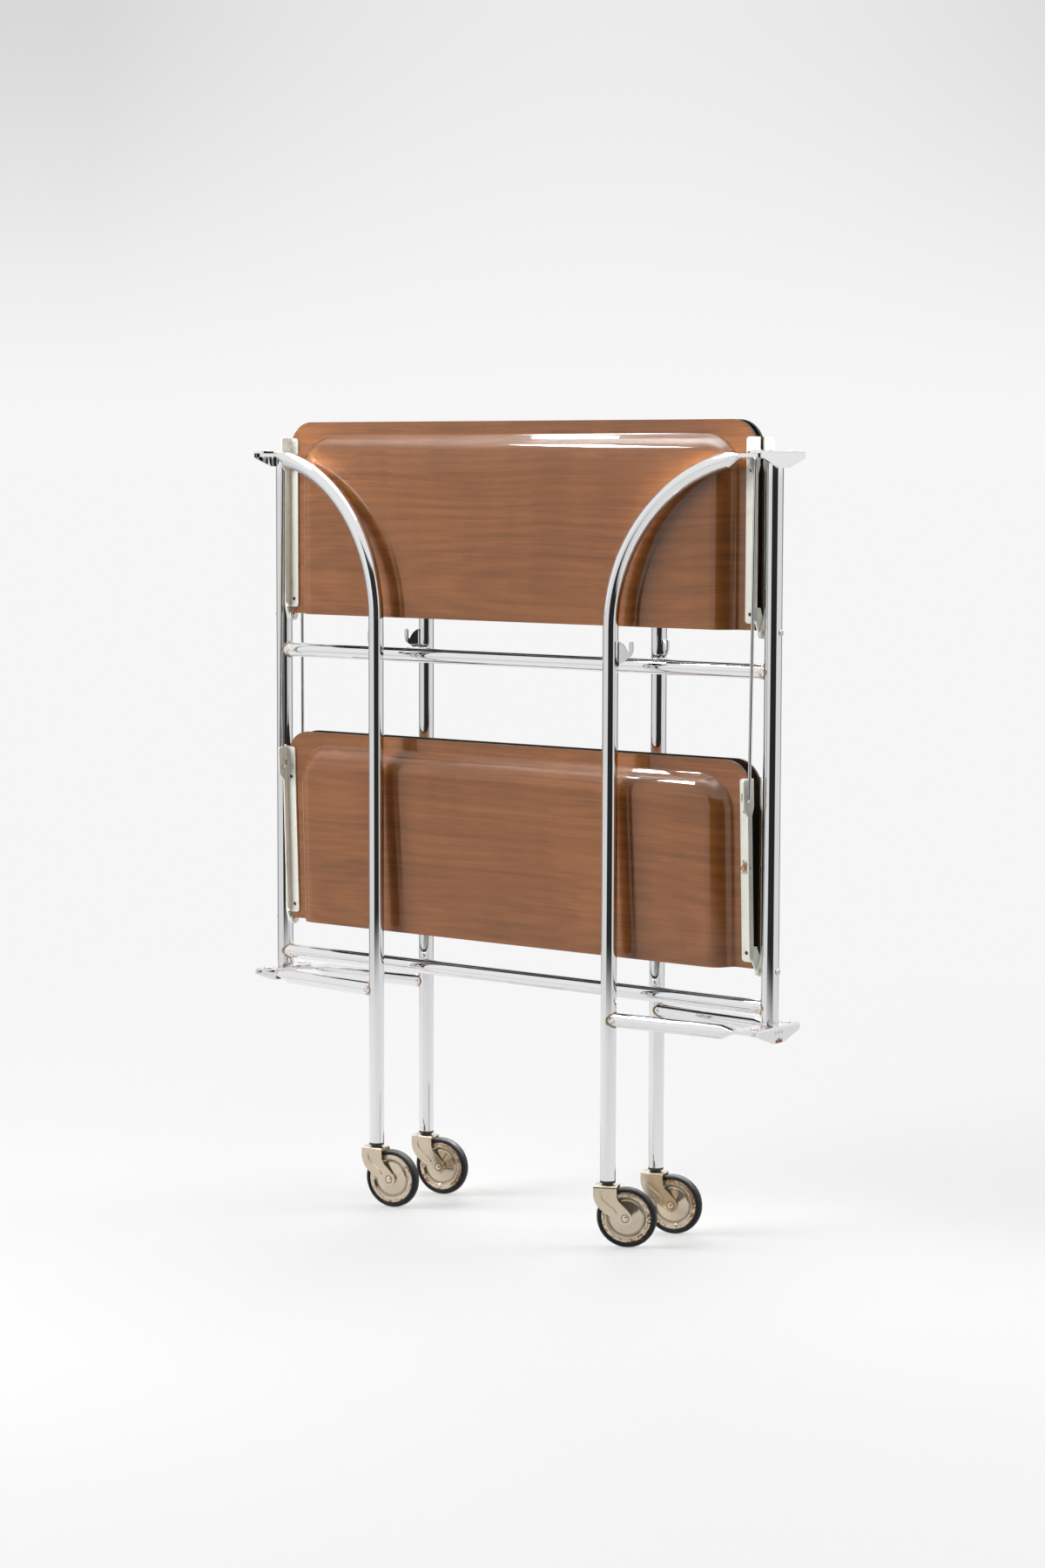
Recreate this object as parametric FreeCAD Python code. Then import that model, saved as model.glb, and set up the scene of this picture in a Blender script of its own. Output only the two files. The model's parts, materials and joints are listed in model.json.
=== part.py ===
import FreeCAD, Part
import math
import os

os.makedirs("parts", exist_ok=True)
V = FreeCAD.Vector

# Folding serving cart, folded. Millimetres, X along the cart, -Y to the front, Z up, floor at Z 0.
# One quarter (right, front) is drawn, and the others are its mirror images.
SIDES = {"left": -1, "right": 1}
ENDS = {"front": -1, "rear": 1}

# Fits
RUN_CLEARANCE = 0.05        # radial, a pin or stem that turns in its hole
FACE_CLEARANCE = 0.3        # between faces that slide past each other

# Frame: posts and cross tubes
POST_SPACING = 580.0        # between post axes
POST_RADIUS = 8.0
CROSS_RADIUS = 7.0
TUBE_WALL = 1.2
UPPER_CROSS_DROP = 34.5     # upper cross tube below the upper tray hinge
LOWER_CROSS_RISE = 15.7     # lower cross tube above the bottom brackets
TOP_BRACKET_Z = 725.2       # upper face of the top brackets' plates
BOTTOM_BRACKET_Z = 215.3    # upper face of the bottom brackets' plates

# Brackets, pressed from sheet
BRACKET_SHEET = 1.8
BRACKET_OVERHANG = 10.2     # outer face beyond the post axis
BRACKET_HALF_WIDTH = 33.5
BRACKET_MARGIN = 10.5       # plate inboard of the pivots
BRACKET_END_HEIGHT = 6.0    # straight ends of the flange
BRACKET_DROP = 14.6         # flange height at the middle
BRACKET_TOE = 8.5           # half width of the flange at its foot
BRACKET_BEND = 2.3          # outer radius of the fold
BRACKET_CORNER = 6.0        # clipped inner corners of the plate

# Leg pivots
PIVOT_INSET = 1.0           # pivot beyond the post axis
PIVOT_Y = 25.5
RIVET_RADIUS = 3.0
RIVET_HEAD_RADIUS = 3.8
RIVET_HEAD_HEIGHT = 0.9

# Legs and struts
LEG_Y = 37.5                # folded leg axis
LEG_RADIUS = 7.25
LEG_FOOT_Z = 61.5           # lower end of the tube
LEG_BEND_RADIUS = 156.0
LEG_BEND_TURN = 77.0        # degrees of round tube before it is flattened
TONGUE_THICKNESS = 3.2
TONGUE_HALF_WIDTH = 6.3
TONGUE_LENGTH = 19.0        # flat part, from the pivot
TONGUE_LAP = 2.0            # flattened tube run on into the flat part
PIVOT_SETBACK = 3.5         # pivot short of the bend's full quarter
STRUT_RADIUS = 6.75
STRUT_DROP = 5.3            # strut axis below the bottom brackets' plates
STRUT_TAPER = 14.0          # length over which the strut is flattened

# Claw plate on each leg
CLAW_DROP = 21.9            # middle of the plate below the start of the leg's bend
CLAW_TURN = 4.0             # degrees from the line to the pivot, towards the trays
CLAW_SHEET = 1.8
CLAW_HALF_HEIGHT = 10.8
CLAW_REACH = 24.0           # from the leg's axis to the tip of the finger
CLAW_FINGER = 4.4           # finger width
CLAW_SLOT = 2.0             # slot width at its foot
CLAW_SLOT_FOOT = 1.4        # foot of the slot above the middle
CLAW_SADDLE_TURN = 76.0     # degrees of the leg that the saddle covers

# Tray hinges
UPPER_HINGE_DROP = 159.7    # upper hinge below the top brackets' plates
LOWER_HINGE_RISE = 48.7     # lower hinge above the bottom brackets' plates
PIN_RADIUS = 2.0
PIN_HEAD_RADIUS = 2.9
PIN_HEAD_HEIGHT = 1.4
EYE_RADIUS = 5.5

# Half trays, measured from the hinge axis up (rise) and out from the middle plane (depth)
TRAY_END_GAP = 15.0         # tray's end short of the post axis
TRAY_TOP = 188.0
TRAY_FOOT = 2.0
TRAY_SHEET = 3.0
TRAY_LIP_DEPTH = 3.2        # inner face of the lip
TRAY_DEPTH = 21.5           # underside of the flat middle
TRAY_END_LIP = 19.0
TRAY_TOP_LIP = 13.0
TRAY_WALL_RUN = 10.0        # run of the sloped wall
TRAY_CORNER = 26.0
TRAY_WALL_CORNER = 34.0     # corner of the wall where it leaves the lip
TRAY_EDGE_ROUND = 20.0      # between wall and flat middle, outside
TRAY_LIP_ROUND = 4.0        # between lip and wall, outside
LOWER_FRONT_LEAN = 2.0      # degrees that the lower front half tray leans out towards the legs

# Angle bars on the tray ends
BAR_SHEET = 1.5
BAR_FLANGE = 10.3
BAR_WEB = 5.0               # web, turned out along the flange's outer edge
BAR_GAP = 0.3               # between the tray's edge and the bar's web
BAR_TOP = 172.5
BAR_FOOT = 8.0
BAR_CORNER = 3.0            # rounded corners of the flange
EAR_DEPTH = 19.0
EAR_FOOT = 139.5
EAR_CHAMFER = 8.0
LUG_SHEET = 1.5             # hinge lugs, welded outside the bars' feet
LUG_LAP = 1.5               # that the lug laps out over the web
LUG_TOP = 22.0
LUG_LEAN = 25.0             # degrees, where the lug's back edge leaves the eye
SCREW_RADIUS = 1.2
SCREW_HEAD_RADIUS = 1.7
SCREW_HEAD_HEIGHT = 0.6
SCREW_RISES = (16.0, 143.0)

# Link rods
ROD_RADIUS = 1.5
ROD_BEND = 2.4
ROD_PLAY = 0.4              # radial play of a rod in its hole
ROD_RISE = 153.0            # hook hole above the hinge axis
ROD_DEPTH = 14.0            # hook hole out from the middle plane
ROD_GAP = 0.7               # between the bar's web and the rod
ROD_REACH = 3.5             # hook's tip beyond the web, towards the tray
ROD_TIP = 4.5

# Casters
WHEEL_RADIUS = 28.0
TYRE_WIDTH = 9.6
TYRE_INNER_RADIUS = 22.8
TYRE_TREAD = 2.8            # flat of the tread
RIM_WIDTH = 8.4
DISC_STEP_RADIUS = 16.4
DISC_STEP = 1.6
HUB_RADIUS = 4.6
AXLE_RADIUS = 2.4
AXLE_HEAD_RADIUS = 3.0
AXLE_HEAD_HEIGHT = 1.2
CASTER_TRAIL = 18.0
FORK_TOP_Z = 57.4
FORK_SHEET = 1.4
FORK_HALF_WIDTH = 8.2
FORK_BEND = 2.6
FORK_BACK = 12.0            # cheek behind the swivel axis
FORK_FRONT = 10.0           # cheek ahead of it
FORK_BOSS = 6.5             # rounded end round the axle
FORK_THROAT = 2.4           # sweep of the front edge at the throat
FORK_RIB_RADIUS = 0.9       # bead pressed out along each cheek
STEM_RADIUS = 4.0
STEM_TOP_Z = 84.0
COLLAR_HEIGHT = 2.2
COLLAR_NECK_RADIUS = 5.2
CASTER_HEADINGS = {"front_left": 10.0, "rear_left": 10.0, "front_right": 25.0, "rear_right": 15.0}

# Worked out from the sizes above
POST_X = POST_SPACING / 2
PIVOT_X = POST_X + PIVOT_INSET
BRACKET_X = POST_X + BRACKET_OVERHANG
LEG_REACH = LEG_BEND_RADIUS - PIVOT_SETBACK
LEG_X = PIVOT_X - math.sqrt(LEG_REACH ** 2 - (LEG_Y - PIVOT_Y) ** 2)
LEG_PLAN_ANGLE = math.degrees(math.atan2(LEG_Y - PIVOT_Y, PIVOT_X - LEG_X))
LEG_BEND_Z = TOP_BRACKET_Z - BRACKET_SHEET - FACE_CLEARANCE - TONGUE_THICKNESS / 2 - LEG_BEND_RADIUS
STRUT_Z = BOTTOM_BRACKET_Z - STRUT_DROP
CLAW_Z = LEG_BEND_Z - CLAW_DROP
HINGES = {"upper": TOP_BRACKET_Z - UPPER_HINGE_DROP, "lower": BOTTOM_BRACKET_Z + LOWER_HINGE_RISE}
UPPER_CROSS_Z = HINGES["upper"] - UPPER_CROSS_DROP
LOWER_CROSS_Z = BOTTOM_BRACKET_Z + LOWER_CROSS_RISE
TRAY_HALF_LENGTH = POST_X - TRAY_END_GAP
BAR_X = TRAY_HALF_LENGTH + BAR_GAP
LUG_X = BAR_X + BAR_SHEET
LUG_PITCH = LUG_SHEET + FACE_CLEARANCE
ROD_X = LUG_X + ROD_GAP + ROD_RADIUS
ROD_HOOK_X = BAR_X - ROD_REACH
LEANS = {"upper_front": 0.0, "upper_rear": 0.0, "lower_front": LOWER_FRONT_LEAN, "lower_rear": 0.0}
LIP_UNDERSIDE = TRAY_LIP_DEPTH + TRAY_SHEET


def save(name, *solids):
    shape = solids[0] if len(solids) == 1 else Part.makeCompound(solids)
    shape.exportStep("parts/" + name + ".step")


def quarter(shape, side, end):
    # The right front quarter, mirrored to another corner.
    if side < 0:
        shape = shape.mirror(V(0, 0, 0), V(1, 0, 0))
    if end > 0:
        shape = shape.mirror(V(0, 0, 0), V(0, 1, 0))
    return shape


def cylinder(radius, start, finish):
    run = finish - start
    return Part.makeCylinder(radius, run.Length, start, run)


def joined(shapes):
    return shapes[0].multiFuse(shapes[1:]).removeSplitter()


def polygon(points):
    return Part.Face(Part.makePolygon(list(points) + [points[0]]))


def outline(steps):
    # A closed face from lines (one point) and arcs (a point on the way, then the end point).
    edges = []
    here = steps[0]
    for step in list(steps[1:]) + [steps[0]]:
        if isinstance(step, tuple):
            edges.append(Part.Arc(here, step[0], step[1]).toShape())
            here = step[1]
        elif step.distanceToPoint(here) > 1e-6:
            edges.append(Part.LineSegment(here, step).toShape())
            here = step
    return Part.Face(Part.Wire(edges))


def rounded_head(radius, height, base, direction):
    head = Part.makeCylinder(radius, height, base, direction)
    far = base + V(direction).normalize() * height
    rim = [edge for edge in head.Edges if (edge.CenterOfMass - far).Length < 1e-6]
    return head.makeFillet(0.7 * height, rim)


# Frame

def post(side):
    x = side * POST_X
    foot = V(x, 0, BOTTOM_BRACKET_Z)
    head = V(x, 0, TOP_BRACKET_Z - BRACKET_SHEET)
    shape = cylinder(POST_RADIUS, foot, head).cut(cylinder(POST_RADIUS - TUBE_WALL, foot, head))
    for z in HINGES.values():
        reach = V(2 * POST_RADIUS, 0, 0)
        hole = cylinder(PIN_RADIUS + RUN_CLEARANCE, V(x, 0, z) - reach, V(x, 0, z) + reach)
        shape = shape.cut(hole)
    return shape


def cross_tube(z):
    start = V(-POST_X, 0, z)
    finish = V(POST_X, 0, z)
    shape = cylinder(CROSS_RADIUS, start, finish)
    shape = shape.cut(cylinder(CROSS_RADIUS - TUBE_WALL, start, finish))
    for side in SIDES.values():
        reach = V(0, 0, 2 * CROSS_RADIUS)
        centre = V(side * POST_X, 0, z)
        shape = shape.cut(cylinder(POST_RADIUS, centre - reach, centre + reach))
    return shape


def bracket(top):
    inner_x = PIVOT_X - BRACKET_MARGIN
    half = BRACKET_HALF_WIDTH
    inside = BRACKET_BEND - BRACKET_SHEET
    turn = math.sqrt(0.5)
    outer = V(BRACKET_X - BRACKET_BEND, -half, top - BRACKET_BEND)
    profile = outline([
        V(inner_x, -half, top),
        V(outer.x, -half, top),
        (outer + V(turn, 0, turn) * BRACKET_BEND, V(BRACKET_X, -half, outer.z)),
        V(BRACKET_X, -half, top - BRACKET_DROP),
        V(BRACKET_X - BRACKET_SHEET, -half, top - BRACKET_DROP),
        V(BRACKET_X - BRACKET_SHEET, -half, outer.z),
        (outer + V(turn, 0, turn) * inside, V(outer.x, -half, top - BRACKET_SHEET)),
        V(inner_x, -half, top - BRACKET_SHEET),
    ])
    sheet = profile.extrude(V(0, 2 * half, 0))
    flange = polygon([
        V(inner_x, -half, top),
        V(inner_x, half, top),
        V(inner_x, half, top - BRACKET_END_HEIGHT),
        V(inner_x, BRACKET_TOE, top - BRACKET_DROP),
        V(inner_x, -BRACKET_TOE, top - BRACKET_DROP),
        V(inner_x, -half, top - BRACKET_END_HEIGHT),
    ]).extrude(V(BRACKET_X - inner_x, 0, 0))
    clip = BRACKET_CORNER
    plate = polygon([
        V(BRACKET_X, -half, top - BRACKET_DROP),
        V(BRACKET_X, half, top - BRACKET_DROP),
        V(inner_x + clip, half, top - BRACKET_DROP),
        V(inner_x, half - clip, top - BRACKET_DROP),
        V(inner_x, clip - half, top - BRACKET_DROP),
        V(inner_x + clip, -half, top - BRACKET_DROP),
    ]).extrude(V(0, 0, BRACKET_DROP))
    shape = sheet.common(flange).common(plate)
    for end in ENDS.values():
        centre = V(PIVOT_X, end * PIVOT_Y, top)
        reach = V(0, 0, 2 * BRACKET_SHEET)
        shape = shape.cut(cylinder(RIVET_RADIUS + RUN_CLEARANCE, centre - reach, centre + reach))
    return shape.removeSplitter()


def tongue_top(plate_top):
    return plate_top - BRACKET_SHEET - FACE_CLEARANCE


def pivot_rivet(plate_top):
    top = V(PIVOT_X, -PIVOT_Y, plate_top)
    under = V(PIVOT_X, -PIVOT_Y, tongue_top(plate_top) - TONGUE_THICKNESS - FACE_CLEARANCE)
    return joined([
        rounded_head(RIVET_HEAD_RADIUS, RIVET_HEAD_HEIGHT, top, V(0, 0, 1)),
        cylinder(RIVET_RADIUS, under, top),
        rounded_head(RIVET_HEAD_RADIUS, RIVET_HEAD_HEIGHT, under, V(0, 0, -1)),
    ])


def hinge_pin(z):
    outer = V(POST_X + POST_RADIUS, 0, z)
    inner = V(LUG_X - FACE_CLEARANCE, 0, z)
    return joined([
        rounded_head(PIN_HEAD_RADIUS, PIN_HEAD_HEIGHT, outer, V(1, 0, 0)),
        cylinder(PIN_RADIUS, inner, outer),
        rounded_head(PIN_HEAD_RADIUS, PIN_HEAD_HEIGHT, inner, V(-1, 0, 0)),
    ])


# Legs, drawn in the plane of the bend: run from the leg's axis to the pivot, then height

def placed_leg(shape):
    shape.rotate(V(0, 0, 0), V(0, 0, 1), LEG_PLAN_ANGLE)
    shape.translate(V(LEG_X, -LEG_Y, 0))
    return shape


def tongue(top):
    base = top - TONGUE_THICKNESS
    strip = Part.makeBox(TONGUE_LENGTH, 2 * TONGUE_HALF_WIDTH, TONGUE_THICKNESS,
                         V(LEG_REACH - TONGUE_LENGTH, -TONGUE_HALF_WIDTH, base))
    end = cylinder(TONGUE_HALF_WIDTH, V(LEG_REACH, 0, base), V(LEG_REACH, 0, top))
    return strip.fuse(end)


def rivet_hole(top):
    reach = V(0, 0, TONGUE_THICKNESS)
    middle = V(LEG_REACH, 0, top - TONGUE_THICKNESS / 2)
    return cylinder(RIVET_RADIUS + RUN_CLEARANCE, middle - reach, middle + reach)


def tube_section(centre, direction, half_width, half_height):
    # An ellipse across the tube, its width along Y.
    across = V(0, 1, 0)
    wire = Part.Wire(Part.Ellipse(V(0, 0, 0), half_width, half_height).toShape())
    turn = FreeCAD.Rotation(across, direction.cross(across), direction, "XYZ")
    wire.Placement = FreeCAD.Placement(centre, turn)
    return wire


def flattened(start, start_direction, radius, top):
    # The tube pressed flat, from its round end to the tongue.
    middle_z = top - TONGUE_THICKNESS / 2
    finish = V(LEG_REACH - TONGUE_LENGTH + TONGUE_LAP, 0, middle_z)
    between = (start + finish) * 0.5 + (V(0, 0, middle_z) - V(0, 0, (start.z + finish.z) / 2)) * 0.4
    slope = (finish - start).normalize()
    thin = TONGUE_THICKNESS / 2
    sections = [
        tube_section(start, start_direction, radius, radius),
        tube_section(between, slope, radius, (radius + thin) / 2),
        tube_section(finish, V(1, 0, 0), TONGUE_HALF_WIDTH, thin),
    ]
    return Part.makeLoft(sections, True, True)


def bent_tube(radius):
    # Upright length and quarter bend, as one solid rod.
    start = V(0, 0, LEG_BEND_Z)
    upright = cylinder(radius, V(0, 0, LEG_FOOT_Z), start)
    disc = Part.Face(Part.Wire(Part.makeCircle(radius, start)))
    bend = disc.revolve(start + V(LEG_BEND_RADIUS, 0, 0), V(0, 1, 0), LEG_BEND_TURN)
    return [upright, bend]


def leg():
    turn = math.radians(LEG_BEND_TURN)
    reach = V(-math.cos(turn), 0, math.sin(turn)) * LEG_BEND_RADIUS
    bend_end = V(LEG_BEND_RADIUS, 0, LEG_BEND_Z) + reach
    direction = V(math.sin(turn), 0, math.cos(turn))
    top = tongue_top(TOP_BRACKET_Z)
    shape = joined(bent_tube(LEG_RADIUS) + [flattened(bend_end, direction, LEG_RADIUS, top), tongue(top)])
    shape = shape.cut(joined(bent_tube(LEG_RADIUS - TUBE_WALL))).cut(rivet_hole(top))
    return placed_leg(shape)


def strut():
    top = tongue_top(BOTTOM_BRACKET_Z)
    round_end = V(LEG_REACH - TONGUE_LENGTH - STRUT_TAPER, 0, STRUT_Z)
    start = V(0, 0, STRUT_Z)
    shape = joined([
        cylinder(STRUT_RADIUS, start, round_end),
        flattened(round_end, V(1, 0, 0), STRUT_RADIUS, top),
        tongue(top),
    ])
    shape = shape.cut(cylinder(STRUT_RADIUS - TUBE_WALL, start, round_end))
    reach = V(0, 0, 2 * STRUT_RADIUS)
    shape = shape.cut(cylinder(LEG_RADIUS, start - reach, start + reach))
    return placed_leg(shape.cut(rivet_hole(top)))


def claw():
    # A saddle brazed to the tube, and a plate with a slot open at the top.
    half = CLAW_HALF_HEIGHT
    low = V(0, 0, CLAW_Z - half)
    high = V(0, 0, CLAW_Z + half)
    sector = Part.makeCylinder(LEG_RADIUS + CLAW_SHEET, 2 * half, low, V(0, 0, 1), CLAW_SADDLE_TURN)
    sector.rotate(V(0, 0, 0), V(0, 0, 1), -CLAW_SADDLE_TURN / 2)
    saddle = sector.cut(cylinder(LEG_RADIUS, low, high))
    root = LEG_RADIUS + CLAW_SHEET / 2
    tip = CLAW_REACH
    finger_in = tip - CLAW_FINGER
    slot_in = finger_in - CLAW_SLOT
    slot_z = CLAW_SLOT_FOOT + CLAW_SLOT / 2

    def at(run, rise):
        return V(run, -CLAW_SHEET / 2, CLAW_Z + rise)

    plate = outline([
        at(root, -half),
        at(tip - CLAW_FINGER / 2, -0.2 * half),
        (at(tip - 0.12 * CLAW_FINGER, 0.1 * half), at(tip, 0.45 * half)),
        at(tip, half - CLAW_FINGER / 2),
        (at(tip - CLAW_FINGER / 2, half), at(finger_in, half - CLAW_FINGER / 2)),
        at(finger_in, slot_z),
        (at(finger_in - CLAW_SLOT / 2, CLAW_SLOT_FOOT), at(slot_in, slot_z)),
        (at((slot_in + root) / 2 + 1, 0.7 * half), at(root, half)),
    ]).extrude(V(0, CLAW_SHEET, 0))
    shape = joined([saddle, plate])
    shape.rotate(V(0, 0, 0), V(0, 0, 1), CLAW_TURN)
    return placed_leg(shape)


# Half trays, drawn with the hinge axis at the origin: X along, Z up, -Y out from the middle plane

def tray_outline(depth, half_length, foot, top, corner):
    y = -depth
    turn = corner * (1 - math.sqrt(0.5))
    return outline([
        V(-half_length, y, foot),
        V(half_length, y, foot),
        V(half_length, y, top - corner),
        (V(half_length - turn, y, top - turn), V(half_length - corner, y, top)),
        V(corner - half_length, y, top),
        (V(turn - half_length, y, top - turn), V(-half_length, y, top - corner)),
    ])


def pressed_section(origin, outward):
    # Section of the sheet from the corner's axis out over flat, rounding, sloped wall and rounding to the lip.
    drop = TRAY_DEPTH - LIP_UNDERSIDE
    slope = math.atan2(drop, TRAY_WALL_RUN)
    flat_centre = TRAY_WALL_CORNER - TRAY_WALL_RUN - TRAY_EDGE_ROUND * math.tan(slope / 2)
    lip_centre = TRAY_WALL_CORNER + TRAY_LIP_ROUND * math.tan(slope / 2)

    def at(out, depth):
        return origin + outward * out + V(0, -depth, 0)

    def on_flat_arc(radius, angle):
        return at(flat_centre + radius * math.sin(angle), TRAY_DEPTH - TRAY_EDGE_ROUND + radius * math.cos(angle))

    def on_lip_arc(radius, angle):
        return at(lip_centre - radius * math.sin(angle), LIP_UNDERSIDE + TRAY_LIP_ROUND - radius * math.cos(angle))

    under_flat = TRAY_EDGE_ROUND
    under_lip = TRAY_LIP_ROUND
    over_flat = TRAY_EDGE_ROUND - TRAY_SHEET
    over_lip = TRAY_LIP_ROUND + TRAY_SHEET
    return outline([
        at(0, TRAY_DEPTH),
        on_flat_arc(under_flat, 0),
        (on_flat_arc(under_flat, slope / 2), on_flat_arc(under_flat, slope)),
        on_lip_arc(under_lip, slope),
        (on_lip_arc(under_lip, slope / 2), on_lip_arc(under_lip, 0)),
        on_lip_arc(over_lip, 0),
        (on_lip_arc(over_lip, slope / 2), on_lip_arc(over_lip, slope)),
        on_flat_arc(over_flat, slope),
        (on_flat_arc(over_flat, slope / 2), on_flat_arc(over_flat, 0)),
        at(0, TRAY_DEPTH - TRAY_SHEET),
    ]), lip_centre - TRAY_WALL_CORNER


def tray():
    # The section runs along the ends and the top and turns round the two corners; flat and lip close it.
    corner_x = TRAY_HALF_LENGTH - TRAY_END_LIP - TRAY_WALL_CORNER
    corner_z = TRAY_TOP - TRAY_TOP_LIP - TRAY_WALL_CORNER
    up = V(0, 0, 1)
    top_section, mouth = pressed_section(V(-corner_x, 0, corner_z), up)
    pieces = [top_section.extrude(V(2 * corner_x, 0, 0))]
    flat = Part.makeBox(2 * corner_x, TRAY_SHEET, corner_z - TRAY_FOOT, V(-corner_x, -TRAY_DEPTH, TRAY_FOOT))
    pieces.append(flat)
    for side in SIDES.values():
        foot = V(side * corner_x, 0, TRAY_FOOT)
        pieces.append(pressed_section(foot, V(side, 0, 0))[0].extrude(V(0, 0, corner_z - TRAY_FOOT)))
        axis = V(side * corner_x, 0, corner_z)
        pieces.append(pressed_section(axis, up)[0].revolve(axis, V(0, 1, 0), side * 90))
    lip = tray_outline(TRAY_LIP_DEPTH, TRAY_HALF_LENGTH, TRAY_FOOT, TRAY_TOP, TRAY_CORNER)
    opening = tray_outline(TRAY_LIP_DEPTH, corner_x + TRAY_WALL_CORNER + mouth, TRAY_FOOT,
                           corner_z + TRAY_WALL_CORNER + mouth, TRAY_WALL_CORNER + mouth)
    through = V(0, -TRAY_SHEET, 0)
    pieces.append(lip.extrude(through).cut(opening.extrude(through)))
    shape = joined(pieces)
    for side in SIDES.values():
        for rise in SCREW_RISES:
            shape = shape.cut(screw_shank(side, rise, RUN_CLEARANCE))
    return shape


def screw_place(side, rise):
    flange_middle = BAR_X - BAR_FLANGE / 2
    return V(side * flange_middle, -LIP_UNDERSIDE - BAR_SHEET, rise)


def screw_shank(side, rise, clearance):
    head_seat = screw_place(side, rise)
    length = BAR_SHEET + TRAY_SHEET / 2
    return cylinder(SCREW_RADIUS + clearance, head_seat, head_seat + V(0, length, 0))


def screw(side, rise):
    head = rounded_head(SCREW_HEAD_RADIUS, SCREW_HEAD_HEIGHT, screw_place(side, rise), V(0, -1, 0))
    return joined([head, screw_shank(side, rise, 0.0)])


def end_bar():
    # Angle bar of the right end: flange under the lip, and web turned outwards with an ear for the rod.
    x = BAR_X
    seat = -LIP_UNDERSIDE
    face = seat - BAR_SHEET
    clip = BAR_SHEET
    edge = x - BAR_FLANGE
    turn = BAR_CORNER * (1 - math.sqrt(0.5))
    flange = outline([
        V(LUG_X, face, BAR_TOP),
        V(edge + BAR_CORNER, face, BAR_TOP),
        (V(edge + turn, face, BAR_TOP - turn), V(edge, face, BAR_TOP - BAR_CORNER)),
        V(edge, face, BAR_FOOT + BAR_CORNER),
        (V(edge + turn, face, BAR_FOOT + turn), V(edge + BAR_CORNER, face, BAR_FOOT)),
        V(LUG_X, face, BAR_FOOT),
    ]).extrude(V(0, BAR_SHEET, 0))
    web = polygon([
        V(x, -TRAY_LIP_DEPTH, BAR_TOP),
        V(x, clip - EAR_DEPTH, BAR_TOP),
        V(x, -EAR_DEPTH, BAR_TOP - clip),
        V(x, -EAR_DEPTH, EAR_FOOT + EAR_CHAMFER),
        V(x, face - BAR_WEB, EAR_FOOT),
        V(x, face - BAR_WEB, BAR_FOOT + BAR_WEB),
        V(x, face, BAR_FOOT),
        V(x, seat, BAR_FOOT),
        V(x, seat, EAR_FOOT),
        V(x, -TRAY_LIP_DEPTH, EAR_FOOT + EAR_CHAMFER),
    ]).extrude(V(BAR_SHEET, 0, 0))
    shape = joined([flange, web])
    hook = V(x, -ROD_DEPTH, ROD_RISE)
    shape = shape.cut(cylinder(ROD_RADIUS + ROD_PLAY, hook, hook + V(BAR_SHEET, 0, 0)))
    for rise in SCREW_RISES:
        shape = shape.cut(screw_shank(1, rise, RUN_CLEARANCE))
    return shape


def hinge_lug(x):
    # Wedge with the hinge eye, for the right end, its inner face at this X.
    front = -LIP_UNDERSIDE - BAR_SHEET - LUG_LAP
    lean = math.radians(LUG_LEAN)
    back = V(x, EYE_RADIUS * math.cos(lean), EYE_RADIUS * math.sin(lean))
    wedge = outline([
        V(x, front, LUG_TOP),
        V(x, front, BAR_FOOT),
        V(x, -EYE_RADIUS, 0),
        (V(x, 0, -EYE_RADIUS), back),
        V(x, -TRAY_LIP_DEPTH, LUG_TOP),
    ]).extrude(V(LUG_SHEET, 0, 0))
    return wedge.cut(cylinder(PIN_RADIUS + RUN_CLEARANCE, V(x, 0, 0), V(x + LUG_SHEET, 0, 0)))


def end_bars():
    # All half trays are alike. Turned half round, the packed-out lug of the left end meets a right one
    # on the same pin, outboard of it.
    lap = BAR_SHEET + LUG_LAP
    bar = end_bar()
    packing = Part.makeBox(LUG_PITCH, lap, LUG_TOP - BAR_FOOT, V(LUG_X, -LIP_UNDERSIDE - lap, BAR_FOOT))
    left = [bar, packing, hinge_lug(LUG_X + LUG_PITCH)]
    return [bar, hinge_lug(LUG_X)] + [piece.mirror(V(0, 0, 0), V(1, 0, 0)) for piece in left]


def placed_leaf(shape, leaf, end):
    # A front leaf at its hinge; a rear one is turned half round.
    shape = shape.copy()
    shape.rotate(V(0, 0, 0), V(1, 0, 0), LEANS[leaf])
    if end > 0:
        shape.rotate(V(0, 0, 0), V(0, 0, 1), 180)
    shape.translate(V(0, 0, HINGES[leaf.split("_")[0]]))
    return shape


# Link rods

def hook_hole(leaf):
    lean = math.radians(LEANS[leaf])
    out = ROD_DEPTH * math.cos(lean) + ROD_RISE * math.sin(lean)
    up = ROD_RISE * math.cos(lean) - ROD_DEPTH * math.sin(lean)
    return V(0, -out, HINGES[leaf.split("_")[0]] + up)


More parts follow.
